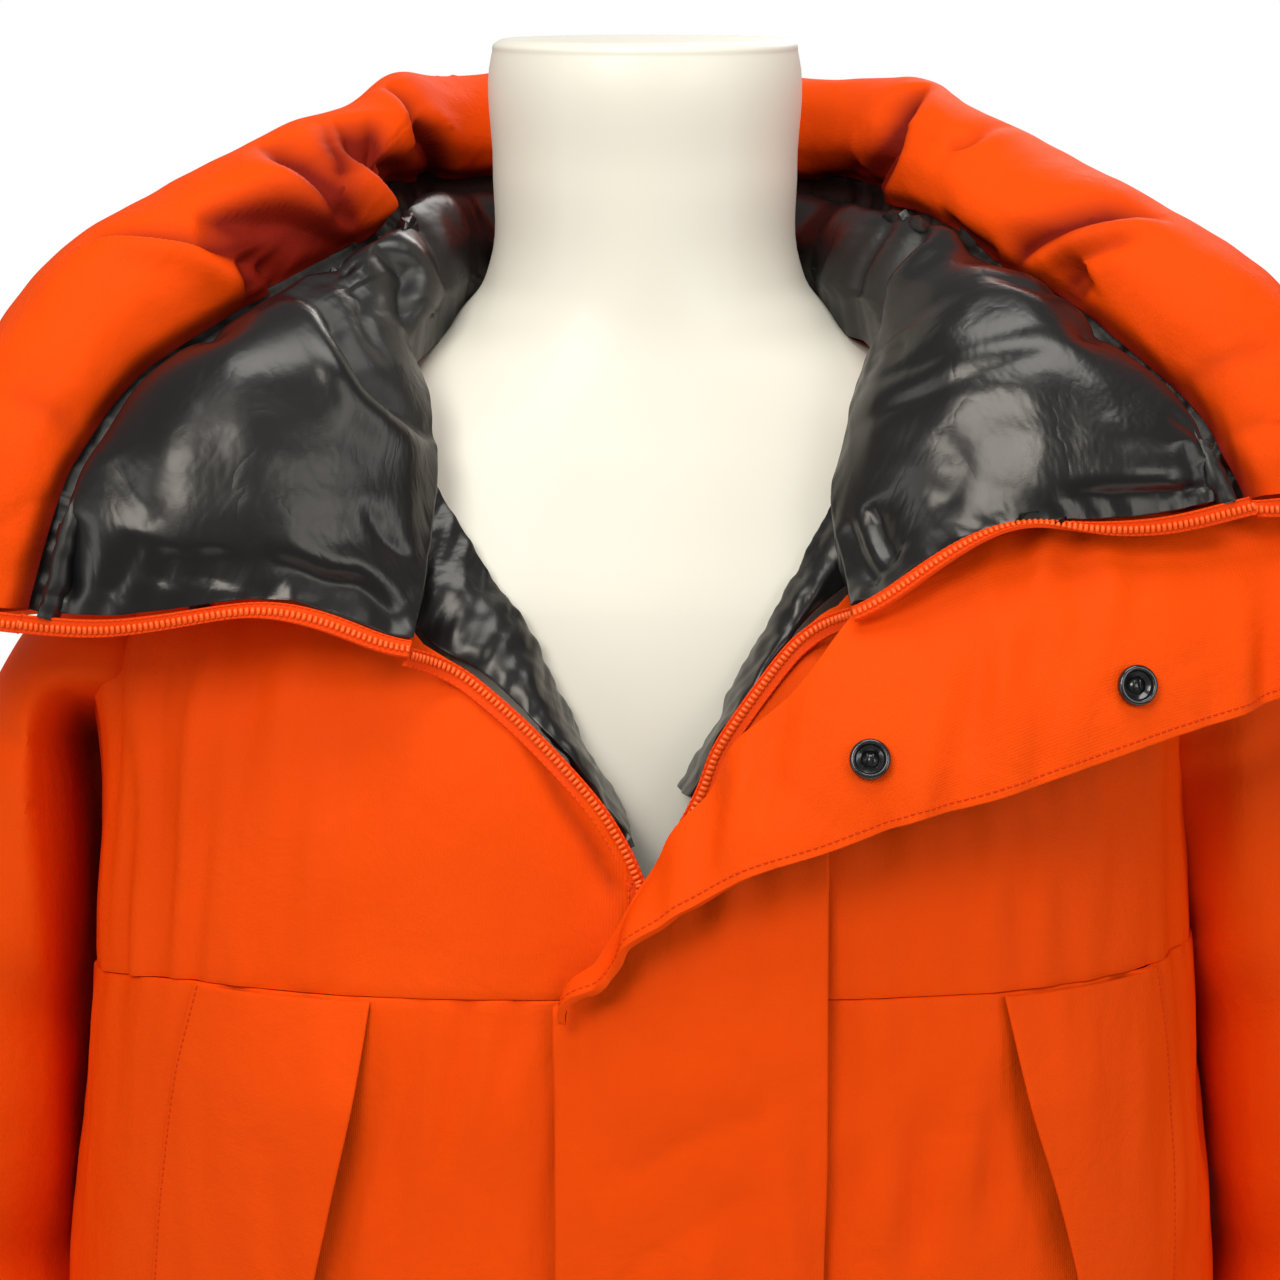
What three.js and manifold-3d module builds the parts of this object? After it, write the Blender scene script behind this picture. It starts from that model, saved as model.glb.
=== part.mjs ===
import * as THREE from "three";
import Module from "manifold-3d";

// A down parka on a limbless dress form with a plain stand, in millimetres, +Z up, its front to -Y.
// Heights in the tables are measured from the top of the form's neck, so most are negative.

const NECK_TOP = 1300; // height of the form's neck above the floor
const HEM = -835; // the jacket's lower edge
const YOKE_SEAM = -349; // seam across both fronts
const BACK_SEAM = -330; // seam across the back
const SHELL = 3; // thickness of the jacket's cloth walls
const SEAM = 0.4; // clearance between two pieces that meet at a seam
const REST = 0.5; // clearance between the cloth and the form
const BASE = { radius: 170, height: 12, chamfer: 4 };
const POLE = { radius: 14, top: -700 };
const ZIP = { width: 7.5, thick: 2.2 };
const SNAP = { outer: 7.6, hole: 3.4, height: 3.2, sides: 14 };

// Outer surface of the jacket's body: half width, depth to the front, depth to the back, squareness.
const BODY = [
  { z: -116, wide: 90, front: 66, back: 80, square: 2.2 },
  { z: -126, wide: 116, front: 73, back: 88, square: 2.3 },
  { z: -140, wide: 142, front: 79, back: 96, square: 2.4 },
  { z: -158, wide: 168, front: 87, back: 104, square: 2.5 },
  { z: -180, wide: 194, front: 96, back: 111, square: 2.6 },
  { z: -205, wide: 214, front: 108, back: 118, square: 2.7 },
  { z: -235, wide: 224, front: 126, back: 125, square: 2.8 },
  { z: -270, wide: 218, front: 141, back: 131, square: 2.9 },
  { z: -320, wide: 219, front: 151, back: 137, square: 3 },
  { z: -372, wide: 223, front: 157, back: 142, square: 3 },
  { z: -430, wide: 228, front: 159, back: 145, square: 2.9 },
  { z: -500, wide: 233, front: 160, back: 148, square: 2.8 },
  { z: -600, wide: 237, front: 163, back: 152, square: 2.7 },
  { z: -720, wide: 240, front: 167, back: 156, square: 2.6 },
  { z: HEM, wide: 241, front: 169, back: 158, square: 2.6 },
];

// Dress form: half width and half depth down from the neck's rim.
const FORM = [
  { z: 0, wide: 57, front: 55, back: 55, square: 2 },
  { z: -1.5, wide: 59.5, front: 57.5, back: 57.5, square: 2 },
  { z: -5, wide: 60.5, front: 58.5, back: 58.5, square: 2 },
  { z: -50, wide: 60.5, front: 58, back: 59, square: 2 },
  { z: -88, wide: 62, front: 58, back: 60, square: 2 },
  { z: -98, wide: 66, front: 58, back: 61, square: 2.05 },
  { z: -106, wide: 74, front: 60, back: 63, square: 2.1 },
  { z: -116, wide: 83, front: 60, back: 65, square: 2.2 },
  { z: -128, wide: 107, front: 66, back: 75, square: 2.3 },
  { z: -143, wide: 138, front: 72, back: 87, square: 2.4 },
  { z: -162, wide: 164, front: 79, back: 96, square: 2.4 },
  { z: -184, wide: 184, front: 87, back: 102, square: 2.4 },
  { z: -212, wide: 194, front: 96, back: 106, square: 2.4 },
  { z: -250, wide: 192, front: 104, back: 110, square: 2.3 },
  { z: -310, wide: 184, front: 112, back: 112, square: 2.3 },
  { z: -400, wide: 168, front: 112, back: 104, square: 2.2 },
  { z: -500, wide: 154, front: 102, back: 92, square: 2.2 },
  { z: -600, wide: 162, front: 110, back: 104, square: 2.2 },
  { z: -680, wide: 170, front: 114, back: 112, square: 2.2 },
  { z: -700, wide: 164, front: 108, back: 106, square: 2.2 },
];

// Centre line of a sleeve (out is away from the middle) with its half sizes across and front to back.
const SLEEVE = [
  { out: 186, y: 2, z: -212, across: 28, deep: 62 },
  { out: 206, y: 1, z: -238, across: 36, deep: 74 },
  { out: 226, y: 0, z: -274, across: 42, deep: 80 },
  { out: 246, y: -1, z: -326, across: 44, deep: 82 },
  { out: 268, y: -2, z: -392, across: 45, deep: 81 },
  { out: 289, y: -5, z: -466, across: 46, deep: 78 },
  { out: 299, y: -10, z: -550, across: 47, deep: 74 },
  { out: 303, y: -17, z: -640, across: 46, deep: 70 },
  { out: 303, y: -25, z: -740, across: 44, deep: 66 },
  { out: 301, y: -31, z: -850, across: 42, deep: 61 },
];

// Folds across a sleeve: where along it (in rows of the table above), at what angle round it
// (0 faces out, 90 the back), how far each spreads both ways and how deep it dips.
const SLEEVE_FOLDS = [
  { at: 2.6, angle: 150, long: 0.3, round: 60, deep: 6 },
  { at: 3.7, angle: 250, long: 0.28, round: 75, deep: 7 },
  { at: 4.5, angle: 60, long: 0.3, round: 65, deep: 6 },
  { at: 5.2, angle: 230, long: 0.3, round: 80, deep: 8 },
  { at: 6.0, angle: 275, long: 0.27, round: 85, deep: 9 },
  { at: 6.6, angle: 80, long: 0.3, round: 70, deep: 6 },
  { at: 7.5, angle: 300, long: 0.32, round: 60, deep: 6 },
];

// Upright drapes in the body's cloth: angle round it (0 is the front, 90 the right side), how
// wide, how deep (minus dips) and from which height down to which.
const DRAPES = [
  { angle: 78, wide: 13, deep: -7, top: -330, bottom: -780 },
  { angle: -80, wide: 14, deep: -8, top: -340, bottom: -800 },
  { angle: 118, wide: 13, deep: -7, top: -300, bottom: -830 },
  { angle: 143, wide: 11, deep: -5, top: -380, bottom: -860 },
  { angle: 172, wide: 15, deep: -7, top: -430, bottom: -860 },
  { angle: -150, wide: 13, deep: -7, top: -350, bottom: -860 },
  { angle: -122, wide: 11, deep: -6, top: -310, bottom: -840 },
];

// The spread collar, a row for each section from the zip's end round to the back of the neck.
// i is the edge against the form, c the crest of the lining, t the rolled top of the band.
const COLLAR_LEFT = [
  { ix: -86, iy: -138, iz: -215, cx: -226, cy: -136, cz: -205, tx: -276, ty: -112, tz: -204 },
  { ix: -81, iy: -114, iz: -187, cx: -215, cy: -136, cz: -171, tx: -272, ty: -98, tz: -150 },
  { ix: -78, iy: -98, iz: -161, cx: -205, cy: -124, cz: -147, tx: -247, ty: -76, tz: -106 },
  { ix: -80, iy: -84, iz: -136, cx: -184, cy: -106, cz: -119, tx: -224, ty: -51, tz: -77 },
  { ix: -88, iy: -64, iz: -113, cx: -152, cy: -80, cz: -98, tx: -189, ty: -25, tz: -57 },
  { ix: -84, iy: -38, iz: -106, cx: -123, cy: -58, cz: -84, tx: -150, ty: 8, tz: -37 },
  { ix: -74, iy: -10, iz: -101, cx: -98, cy: -28, cz: -72, tx: -124, ty: 30, tz: -30 },
  { ix: -67, iy: 25, iz: -98, cx: -90, cy: 12, cz: -62, tx: -106, ty: 56, tz: -17 },
  { ix: -48, iy: 54, iz: -95, cx: -66, cy: 62, cz: -62, tx: -76, ty: 90, tz: -18 },
];
const COLLAR_BACK = { ix: 0, iy: 69, iz: -92, cx: 0, cy: 86, cz: -62, tx: 0, ty: 118, tz: -14 };
const COLLAR_RIGHT = [
  { ix: 76, iy: -138, iz: -203, cx: 217, cy: -134, cz: -162, tx: 282, ty: -106, tz: -166 },
  { ix: 73, iy: -114, iz: -186, cx: 209, cy: -132, cz: -146, tx: 274, ty: -94, tz: -138 },
  { ix: 71, iy: -98, iz: -165, cx: 199, cy: -122, cz: -130, tx: 258, ty: -80, tz: -107 },
  { ix: 79, iy: -84, iz: -133, cx: 178, cy: -106, cz: -110, tx: 234, ty: -61, tz: -83 },
  { ix: 87, iy: -64, iz: -110, cx: 152, cy: -80, cz: -89, tx: 199, ty: -36, tz: -62 },
  { ix: 83, iy: -38, iz: -104, cx: 127, cy: -56, cz: -81, tx: 160, ty: -4, tz: -42 },
  { ix: 73, iy: -10, iz: -100, cx: 108, cy: -28, cz: -67, tx: 131, ty: 26, tz: -27 },
  { ix: 66, iy: 25, iz: -98, cx: 89, cy: 10, cz: -66, tx: 113, ty: 54, tz: -18 },
  { ix: 48, iy: 54, iz: -95, cx: 66, cy: 62, cz: -64, tx: 74, ty: 90, tz: -20 },
];

// How far each section swells, and where the outer cloth goes from the band's top: o, l and h are
// offsets from t (out, back, up), u one from the middle of the lining and n one from i.
const SWELL = [
  { pillow: 9, valley: 2, band: 4, o: [3, 6, -5], l: [1, 14, -10], h: [-18, 14, -12], u: [0, 4, -3], n: [4, 11, -7] },
  { pillow: 20, valley: 6, band: 12, o: [6, 12, -10], l: [6, 28, -24], h: [-12, 38, -32], u: [0, 14, -10], n: [4, 12, -9] },
  { pillow: 26, valley: 8, band: 15, o: [8, 16, -14], l: [8, 34, -40], h: [-8, 46, -72], u: [0, 20, -20], n: [5, 10, -10] },
  { pillow: 26, valley: 10, band: 17, o: [10, 17, -16], l: [14, 34, -60], h: [2, 44, -112], u: [0, 22, -10], n: [4, 9, -8] },
  { pillow: 18, valley: 11, band: 16, o: [12, 14, -18], l: [20, 24, -62], h: [12, 32, -112], u: [0, 32, -19], n: [2, 11, -6] },
  { pillow: 12, valley: 11, band: 14, o: [12, 14, -20], l: [22, 30, -72], h: [22, 44, -122], u: [4, 46, -20], n: [1, 12, -6] },
  { pillow: 8, valley: 10, band: 13, o: [12, 18, -20], l: [26, 50, -85], h: [28, 84, -162], u: [6, 66, -26], n: [1, 12, -7] },
  { pillow: 7, valley: 9, band: 12, o: [8, 24, -22], l: [20, 72, -95], h: [20, 98, -205], u: [10, 84, -50], n: [1, 13, -9] },
  { pillow: 6, valley: 8, band: 12, o: [4, 28, -20], l: [6, 74, -100], h: [4, 94, -240], u: [6, 80, -62], n: [1, 14, -11] },
  { pillow: 6, valley: 8, band: 12, o: [0, 30, -20], l: [0, 64, -105], h: [0, 80, -265], u: [0, 76, -70], n: [0, 15, -12] },
];

// The open front: the zip's edge on each side from the bottom of the V up to the collar's seam.
const V_LEFT = [
  { x: 0, z: -305 },
  { x: -8, z: -289 },
  { x: -20, z: -272 },
  { x: -43, z: -249 },
  { x: -66, z: -231 },
  { x: -86, z: -219 },
];
const V_RIGHT = [
  { x: 0, z: -305 },
  { x: 18, z: -274 },
  { x: 27, z: -254 },
  { x: 48, z: -227 },
  { x: 62, z: -214 },
  { x: 76, z: -205 },
];

// Body lining that shows inside the V: its edge against the form and its edge behind the zip.
const LINING_LEFT = [
  { ix: -79, iz: -166, ox: -84, oz: -211 },
  { ix: -66, iz: -186, ox: -74, oz: -222 },
  { ix: -54, iz: -204, ox: -61, oz: -231 },
  { ix: -42, iz: -221, ox: -44, oz: -245 },
  { ix: -32, iz: -242, ox: -30, oz: -258 },
  { ix: -19, iz: -266, ox: -15, oz: -275 },
  { ix: -7, iz: -286, ox: -4, oz: -292 },
];
const LINING_RIGHT = [
  { ix: 72, iz: -169, ox: 75.3, oz: -199 },
  { ix: 62, iz: -188, ox: 67.8, oz: -207 },
  { ix: 49, iz: -212, ox: 54.2, oz: -220 },
  { ix: 35, iz: -234, ox: 39.3, oz: -237 },
  { ix: 24, iz: -256, ox: 25.8, oz: -255 },
  { ix: 12, iz: -276, ox: 17, oz: -274 },
];

// The turned-back storm flap: its upper edge (a) and its free hem (b).
const FLAP = [
  { ax: -28, ay: -165.2, az: -348, bx: -30, by: -172, bz: -358 },
  { ax: -21, ay: -162.9, az: -336, bx: -24, by: -174, bz: -343 },
  { ax: -10, ay: -160.5, az: -318, bx: -12, by: -176, bz: -328 },
  { ax: 4, ay: -157.4, az: -298, bx: 6, by: -178, bz: -313 },
  { ax: 17, ay: -156, az: -275, bx: 36, by: -179, bz: -296 },
  { ax: 34, ay: -152, az: -251, bx: 66, by: -179, bz: -286 },
  { ax: 58, ay: -152, az: -227, bx: 96, by: -178, bz: -275 },
  { ax: 86, ay: -154, az: -206, bx: 128, by: -175, bz: -267 },
  { ax: 118, ay: -156, az: -191, bx: 162, by: -170, bz: -256 },
  { ax: 154, ay: -154, az: -181, bx: 194, by: -160, bz: -247 },
  { ax: 198, ay: -147, az: -178, bx: 226, by: -148, bz: -239 },
  { ax: 250, ay: -132, az: -174, bx: 266, by: -130, bz: -226 },
];

// Snap sockets, along the flap's table and across it, and the stud on the left yoke.
const SOCKETS = [
  { along: 6, across: 0.55 },
  { along: 8.85, across: 0.68 },
];
const STUD = { x: -170, z: -214, radius: 5.2, height: 2.4 };

// Closed part of the flap down the front, and the chest pockets on the lower fronts.
const PLACKET = { left: -34, right: 68, lift: 6.1 };
const POCKET_LEFT = [
  { z: -352, inner: -103, outer: -172 },
  { z: -390, inner: -110, outer: -182 },
  { z: -430, inner: -119, outer: -188 },
  { z: -475, inner: -129, outer: -192 },
  { z: -530, inner: -141, outer: -196 },
  { z: -580, inner: -152, outer: -198 },
];
const POCKET_RIGHT = [
  { z: -352, inner: 135, outer: 199 },
  { z: -390, inner: 145, outer: 205 },
  { z: -430, inner: 157, outer: 208 },
  { z: -475, inner: 168, outer: 209 },
  { z: -530, inner: 176, outer: 209 },
  { z: -580, inner: 182, outer: 209 },
];

const wasm = await Module();
wasm.setup();
const { Manifold, Mesh: SolidMesh } = wasm;

const finish = (color, roughness, metalness = 0) =>
  new THREE.MeshStandardMaterial({ color, roughness, metalness, side: THREE.DoubleSide });
const MATERIAL = {
  shell: finish(0xe8451a, 0.55),
  lining: finish(0x17161a, 0.3),
  tape: finish(0xd93a14, 0.6),
  form: finish(0xeae6d8, 0.25),
  stand: finish(0xd8d8d6, 0.35, 0.6),
  snap: finish(0x1b1b1c, 0.3, 0.5),
};

const add = (p, q, k = 1) => p.map((v, i) => v + k * q[i]);
const sub = (p, q) => p.map((v, i) => v - q[i]);
const lerp = (p, q, t) => p.map((v, i) => v + (q[i] - v) * t);
const cross = (p, q) => [
  p[1] * q[2] - p[2] * q[1],
  p[2] * q[0] - p[0] * q[2],
  p[0] * q[1] - p[1] * q[0],
];
const dot = (p, q) => p[0] * q[0] + p[1] * q[1] + p[2] * q[2];
const unit = (p) => p.map((v) => v / Math.hypot(...p));

// A smooth curve through a list of points, at t in steps from the first point.
function through(points, t) {
  const last = points.length - 1;
  const i = Math.min(Math.max(Math.floor(t), 0), last - 1);
  const f = t - i;
  const a = points[Math.max(i - 1, 0)];
  const b = points[i];
  const c = points[i + 1];
  const d = points[Math.min(i + 2, last)];
  return b.map((v, n) => {
    const m0 = (c[n] - a[n]) / 2;
    const m1 = (d[n] - v) / 2;
    const f2 = f * f;
    const f3 = f2 * f;
    return v * (2 * f3 - 3 * f2 + 1) + m0 * (f3 - 2 * f2 + f) + c[n] * (3 * f2 - 2 * f3) + m1 * (f3 - f2);
  });
}

// A table's columns at height z, between its rows.
function atHeight(table, z) {
  const keys = Object.keys(table[0]).filter((key) => key !== "z");
  let i = 0;
  while (i < table.length - 2 && z < table[i + 1].z) i += 1;
  const t = i + (table[i].z - z) / (table[i].z - table[i + 1].z);
  const rows = table.map((row) => keys.map((key) => row[key]));
  const values = through(rows, Math.min(Math.max(t, 0), table.length - 1));
  return Object.fromEntries(keys.map((key, n) => [key, values[n]]));
}

// A point on a rounded, squarish ring: angle 0 faces the front and 90 degrees is +X.
function ringPoint(section, angle, z) {
  const power = 2 / section.square;
  const s = Math.sin(angle);
  const c = Math.cos(angle);
  const depth = c > 0 ? -section.front : section.back;
  return [
    section.wide * Math.sign(s) * Math.abs(s) ** power,
    depth * Math.abs(c) ** power,
    z,
  ];
}

const rings = (table, heights, count) =>
  heights.map((z) => {
    const section = atHeight(table, z);
    return Array.from({ length: count }, (_, i) => ringPoint(section, (i / count) * 2 * Math.PI, z));
  });

const hump = (x) => Math.exp(-x * x);
const turn = (degrees) => ((((degrees + 180) % 360) + 360) % 360) - 180;

// How far the drapes move the body's surface out at this angle and height.
function drape(degrees, z) {
  return DRAPES.reduce((sum, { angle, wide, deep, top, bottom }) => {
    const share = Math.min(Math.max((top - z) / (top - bottom), 0), 1);
    return sum + deep * hump(turn(degrees - angle) / wide) * Math.sin(Math.PI * share ** 0.8);
  }, 0);
}

// The body's rings with their drapes.
function bodyRings(heights, count) {
  return rings(BODY, heights, count).map((ring, i) =>
    ring.map(([x, y, z], j) => {
      const far = Math.hypot(x, y);
      const moved = (far + drape((j / count) * 360, heights[i])) / far;
      return [x * moved, y * moved, z];
    }),
  );
}

// Where the body's outer surface is at (x, z) on the front.
function frontY(x, z) {
  const { wide, front, square } = atHeight(BODY, z);
  const share = Math.min(Math.abs(x) / wide, 0.995);
  return -front * (1 - share ** square) ** (1 / square);
}

// Surface normals of a grid of points, by the neighbours on each side.
function normals(grid, closed) {
  const rows = grid.length;
  const cols = grid[0].length;
  const col = (j) => (closed ? (j + cols) % cols : Math.min(Math.max(j, 0), cols - 1));
  const row = (i) => Math.min(Math.max(i, 0), rows - 1);
  return grid.map((line, i) =>
    line.map((_, j) => {
      const down = sub(grid[row(i + 1)][j], grid[row(i - 1)][j]);
      const along = sub(line[col(j + 1)], line[col(j - 1)]);
      return unit(cross(down, along));
    }),
  );
}

const offset = (grid, distance, closed = false) => {
  const n = normals(grid, closed);
  return grid.map((line, i) => line.map((p, j) => add(p, n[i][j], distance)));
};

function solid(vertices, triangles) {
  const mesh = new SolidMesh({
    numProp: 3,
    vertProperties: new Float32Array(vertices.flat()),
    triVerts: new Uint32Array(triangles.flat()),
  });
  mesh.merge();
  const made = new Manifold(mesh);
  if (made.volume() >= 0) return made;
  const turned = triangles.map(([a, b, c]) => [a, c, b]);
  return solid(vertices, turned);
}

const quad = (a, b, c, d) => [[a, b, c], [a, c, d]];

// A wall between two grids of points, round in its columns if closed.
function wall(outer, inner, closed = false) {
  const rows = outer.length;
  const cols = outer[0].length;
  const vertices = [...outer.flat(), ...inner.flat()];
  const at = (side, i, j) => side * rows * cols + i * cols + (j % cols);
  const span = closed ? cols : cols - 1;
  const faces = [];
  for (let i = 0; i < rows - 1; i += 1) {
    for (let j = 0; j < span; j += 1) {
      faces.push(...quad(at(0, i, j), at(0, i + 1, j), at(0, i + 1, j + 1), at(0, i, j + 1)));
      faces.push(...quad(at(1, i, j), at(1, i, j + 1), at(1, i + 1, j + 1), at(1, i + 1, j)));
    }
  }
  for (let j = 0; j < span; j += 1) {
    faces.push(...quad(at(0, 0, j), at(0, 0, j + 1), at(1, 0, j + 1), at(1, 0, j)));
    const end = rows - 1;
    faces.push(...quad(at(0, end, j), at(1, end, j), at(1, end, j + 1), at(0, end, j + 1)));
  }
  for (let i = 0; i < rows - 1 && !closed; i += 1) {
    const end = cols - 1;
    faces.push(...quad(at(0, i, 0), at(1, i, 0), at(1, i + 1, 0), at(0, i + 1, 0)));
    faces.push(...quad(at(0, i, end), at(0, i + 1, end), at(1, i + 1, end), at(1, i, end)));
  }
  return solid(vertices, faces);
}

// A filled tube from a grid of closed rings.
function filled(grid) {
  const cols = grid[0].length;
  const middle = (ring) => ring.reduce((sum, p) => add(sum, p, 1 / cols), [0, 0, 0]);
  const vertices = [...grid.flat(), middle(grid[0]), middle(grid[grid.length - 1])];
  const top = grid.length * cols;
  const faces = [];
  for (let j = 0; j < cols; j += 1) {
    const k = (j + 1) % cols;
    for (let i = 0; i < grid.length - 1; i += 1) {
      faces.push(...quad(i * cols + j, (i + 1) * cols + j, (i + 1) * cols + k, i * cols + k));
    }
    faces.push([top, j, k]);
    faces.push([top + 1, top - cols + k, top - cols + j]);
  }
  return solid(vertices, faces);
}

const box = (x0, x1, y0, y1, z0, z1) =>
  Manifold.cube([x1 - x0, y1 - y0, z1 - z0]).translate([x0, y0, z0]);

// The biggest of the separate bodies that a cut has left.
function biggest(shape) {
  const bodies = shape.decompose();
  return bodies.reduce((best, body) => (body.volume() > best.volume() ? body : best));
}

const FAR = 1000;

function bodyHeights() {
  const heights = [];
  for (let i = 0; i < BODY.length - 1; i += 1) {
    const steps = BODY[i].z - BODY[i + 1].z > 110 ? 2 : 1;
    for (let k = 0; k < steps; k += 1) {
      heights.push(BODY[i].z + ((BODY[i + 1].z - BODY[i].z) * k) / steps);
    }
  }
  return [...heights, HEM];
}

function makeBody() {
  const outer = bodyRings(bodyHeights(), 36);
  const inward = normals(outer, true)[4][0][1] < 0 ? -1 : 1;
  return {
    wall: wall(outer, offset(outer, inward * SHELL, true), true),
    grown: filled(offset(outer, -inward * REST, true)),
    thick: wall(offset(outer, -inward * 1, true), offset(outer, inward * (SHELL + 0.9), true), true),
  };
}

function sleeveDip(t, degrees) {
  return SLEEVE_FOLDS.reduce(
    (sum, { at, angle, long, round, deep }) =>
      sum + deep * hump((t - at) / long) * hump(turn(degrees - angle) / round),
    0,
  );
}

function makeSleeve(side) {
  const points = SLEEVE.map((row) => [side * row.out, row.y, row.z, row.across, row.deep]);
  const steps = 14;
  const count = 18;
  const ring = (grow) =>
    Array.from({ length: steps + 1 }, (_, i) => {
      const t = (i * (points.length - 1)) / steps;
      const [x, y, z, across, deep] = through(points, t);
      const ahead = through(points, Math.min(t + 0.2, points.length - 1));
      const behind = through(points, Math.max(t - 0.2, 0));
      const way = unit(sub(ahead.slice(0, 3), behind.slice(0, 3)));
      const wide = unit(cross(way, [0, 1, 0]));
      const deepWay = [0, 1, 0];
      return Array.from({ length: count }, (_, j) => {
        const angle = (j / count) * 2 * Math.PI;
        const a = side * Math.sign(Math.cos(angle)) * Math.abs(Math.cos(angle)) ** 0.9;
        const b = Math.sign(Math.sin(angle)) * Math.abs(Math.sin(angle)) ** 0.9;
        const more = grow - sleeveDip(t, (angle * 180) / Math.PI);
        return add(add([x, y, z], wide, (across + more) * a), deepWay, (deep + more) * b);
      });
    });
  return {
    wall: wall(ring(0), ring(-SHELL), true),
    hollow: filled(ring(-SHELL)),
    grown: filled(ring(SEAM)),
  };
}

function vPrism() {
  const up = 60;
  const left = V_LEFT.map(({ x, z }) => [x, z]);
  const right = V_RIGHT.map(({ x, z }) => [x, z]).reverse();
  const outline = [
    ...right,
    ...left.slice(1),
    [-82, -190],
    [-83, -160],
    [-96, -118],
    [-96, up],
    [92, up],
    [92, -118],
    [79, -160],
    [77, -190],
  ];
  const made = Manifold.extrude([outline.reverse()], 400);
  // The outline's second axis becomes height and the extrusion runs to the front.
  return made.rotate([90, 0, 0]).translate([0, -20, 0]);
}

// Rows of the collar from its left zip end round the back to its right one.
function collarRows() {
  const last = SWELL.length - 1;
  const swell = (i) => ({ ...SWELL[i] });
  const rows = COLLAR_LEFT.map((row, i) => ({ ...row, ...swell(i), side: -1 }));
  rows.push({ ...COLLAR_BACK, ...swell(last), side: 0 });
  COLLAR_RIGHT.map((row, i) => ({ ...row, ...swell(i), side: 1 }))
    .reverse()
    .forEach((row) => rows.push(row));
  return rows;
}

// The control points of each section, from the form's edge over the band and back under to it.
function collarSections() {
  const rows = collarRows();
  const point = (row, key) => [row[`${key}x`], row[`${key}y`], row[`${key}z`]];
  const beside = (i, key) => {
    const next = point(rows[Math.min(i + 1, rows.length - 1)], key);
    return sub(next, point(rows[Math.max(i - 1, 0)], key));
  };
  return rows.map((row, i) => {
    const inner = point(row, "i");
    const crest = point(row, "c");
    const top = point(row, "t");
    const facing = (key, chord) => {
      const n = unit(cross(beside(i, key), chord));
      return dot(n, [0, -0.7, 1]) < 0 ? n.map((v) => -v) : n;
    };
    const first = sub(crest, inner);
    const second = sub(top, crest);
    const n1 = facing("c", first);
    const n2 = facing("t", second);
    const shifted = (p, [out, back, up]) => add(p, [out * row.side, back, up]);
    return [
      inner,
      add(add(inner, first, 0.14), n1, row.pillow * 0.6),
      add(add(inner, first, 0.42), n1, row.pillow),
      add(add(inner, first, 0.76), n1, row.pillow * 0.8),
      crest,
      add(add(crest, second, 0.08), n2, -row.valley),
      add(add(crest, second, 0.3), n2, row.band * 0.7),
      add(add(crest, second, 0.68), n2, row.band),
      top,
      shifted(top, row.o),
      shifted(top, row.l),
      shifted(top, row.h),
      shifted(lerp(inner, crest, 0.5), row.u),
      shifted(inner, row.n),
    ];
  });
}

const SECTIONS = collarSections();

// The collar's surface at station k (0 to 18) and place w along its section (0 to 13).
function collarPoint(k, w) {
  const section = SECTIONS[0].map((_, n) => through(SECTIONS.map((row) => row[n]), k));
  return through(section, w);
}

function collarNormal(k, w) {
  const last = SECTIONS.length - 1;
  const down = sub(collarPoint(Math.min(k + 0.1, last), w), collarPoint(Math.max(k - 0.1, 0), w));
  const along = sub(collarPoint(k, Math.min(w + 0.05, 13)), collarPoint(k, Math.max(w - 0.05, 0)));
  return unit(cross(down, along));
}

function collarWall(from, to, steps, thick) {
  const last = SECTIONS.length - 1;
  const stations = Array.from({ length: 1.5 * last + 1 }, (_, i) => i / 1.5);
  const places = Array.from({ length: steps + 1 }, (_, i) => from + ((to - from) * i) / steps);
  const grid = stations.map((k) => places.map((w) => collarPoint(k, w)));
  const inner = stations.map((k) => places.map((w) => add(collarPoint(k, w), collarNormal(k, w), thick)));
  return wall(grid, inner);
}

function strip(path, across, width, thick) {
  const grid = path.map((p, i) => [p, lerp(p, add(p, across[i]), 0.5), add(p, across[i])]);
  const wide = grid.map(([p, , q]) => [p, add(p, unit(sub(q, p)), width / 2), add(p, unit(sub(q, p)), width)]);
  return wall(wide, offset(wide, thick));
}

// The zip on one side: up the front's edge and on along the collar's end.
function zipPath(side) {
  const edge = side < 0 ? V_LEFT : V_RIGHT;
  const points = edge.map(({ x, z }) => [x, z]);
  const rows = [];
  const steps = (points.length - 1) * 3;
  for (let i = 0; i <= steps; i += 1) {
    const [x, z] = through(points, i / 3);
    rows.push([x, frontY(x, z) - SEAM - ZIP.thick, z]);
  }
  return rows;
}

function frontZip(side) {
  const path = zipPath(side);
  const below = [HEM + 12, -700, -560, -440, -360, -325];
  const straight = below.map((z) => [side * 0.4, frontY(0, z) - SEAM - ZIP.thick, z]);
  const line = [...straight, ...path.slice(1)].filter((p) => side * p[0] > -0.1);
  const outward = line.map((p, i) => {
    const ahead = line[Math.min(i + 1, line.length - 1)];
    const behind = line[Math.max(i - 1, 0)];
    const way = unit(sub(ahead, behind));
    return [side * Math.abs(way[2]), 0, -Math.abs(way[0])];
  });
  const grid = line.map((p, i) =>
    [-1, ZIP.width - 1].map((d) => {
      const q = add(p, outward[i], i < straight.length ? d + 1 : d);
      return [q[0], Math.min(p[1], frontY(q[0], q[2]) - SEAM - ZIP.thick), q[2]];
    }),
  );
  const back = grid.map((row) => row.map(([x, y, z]) => [x, y + ZIP.thick, z]));
  return wall(grid, back);
}

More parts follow.
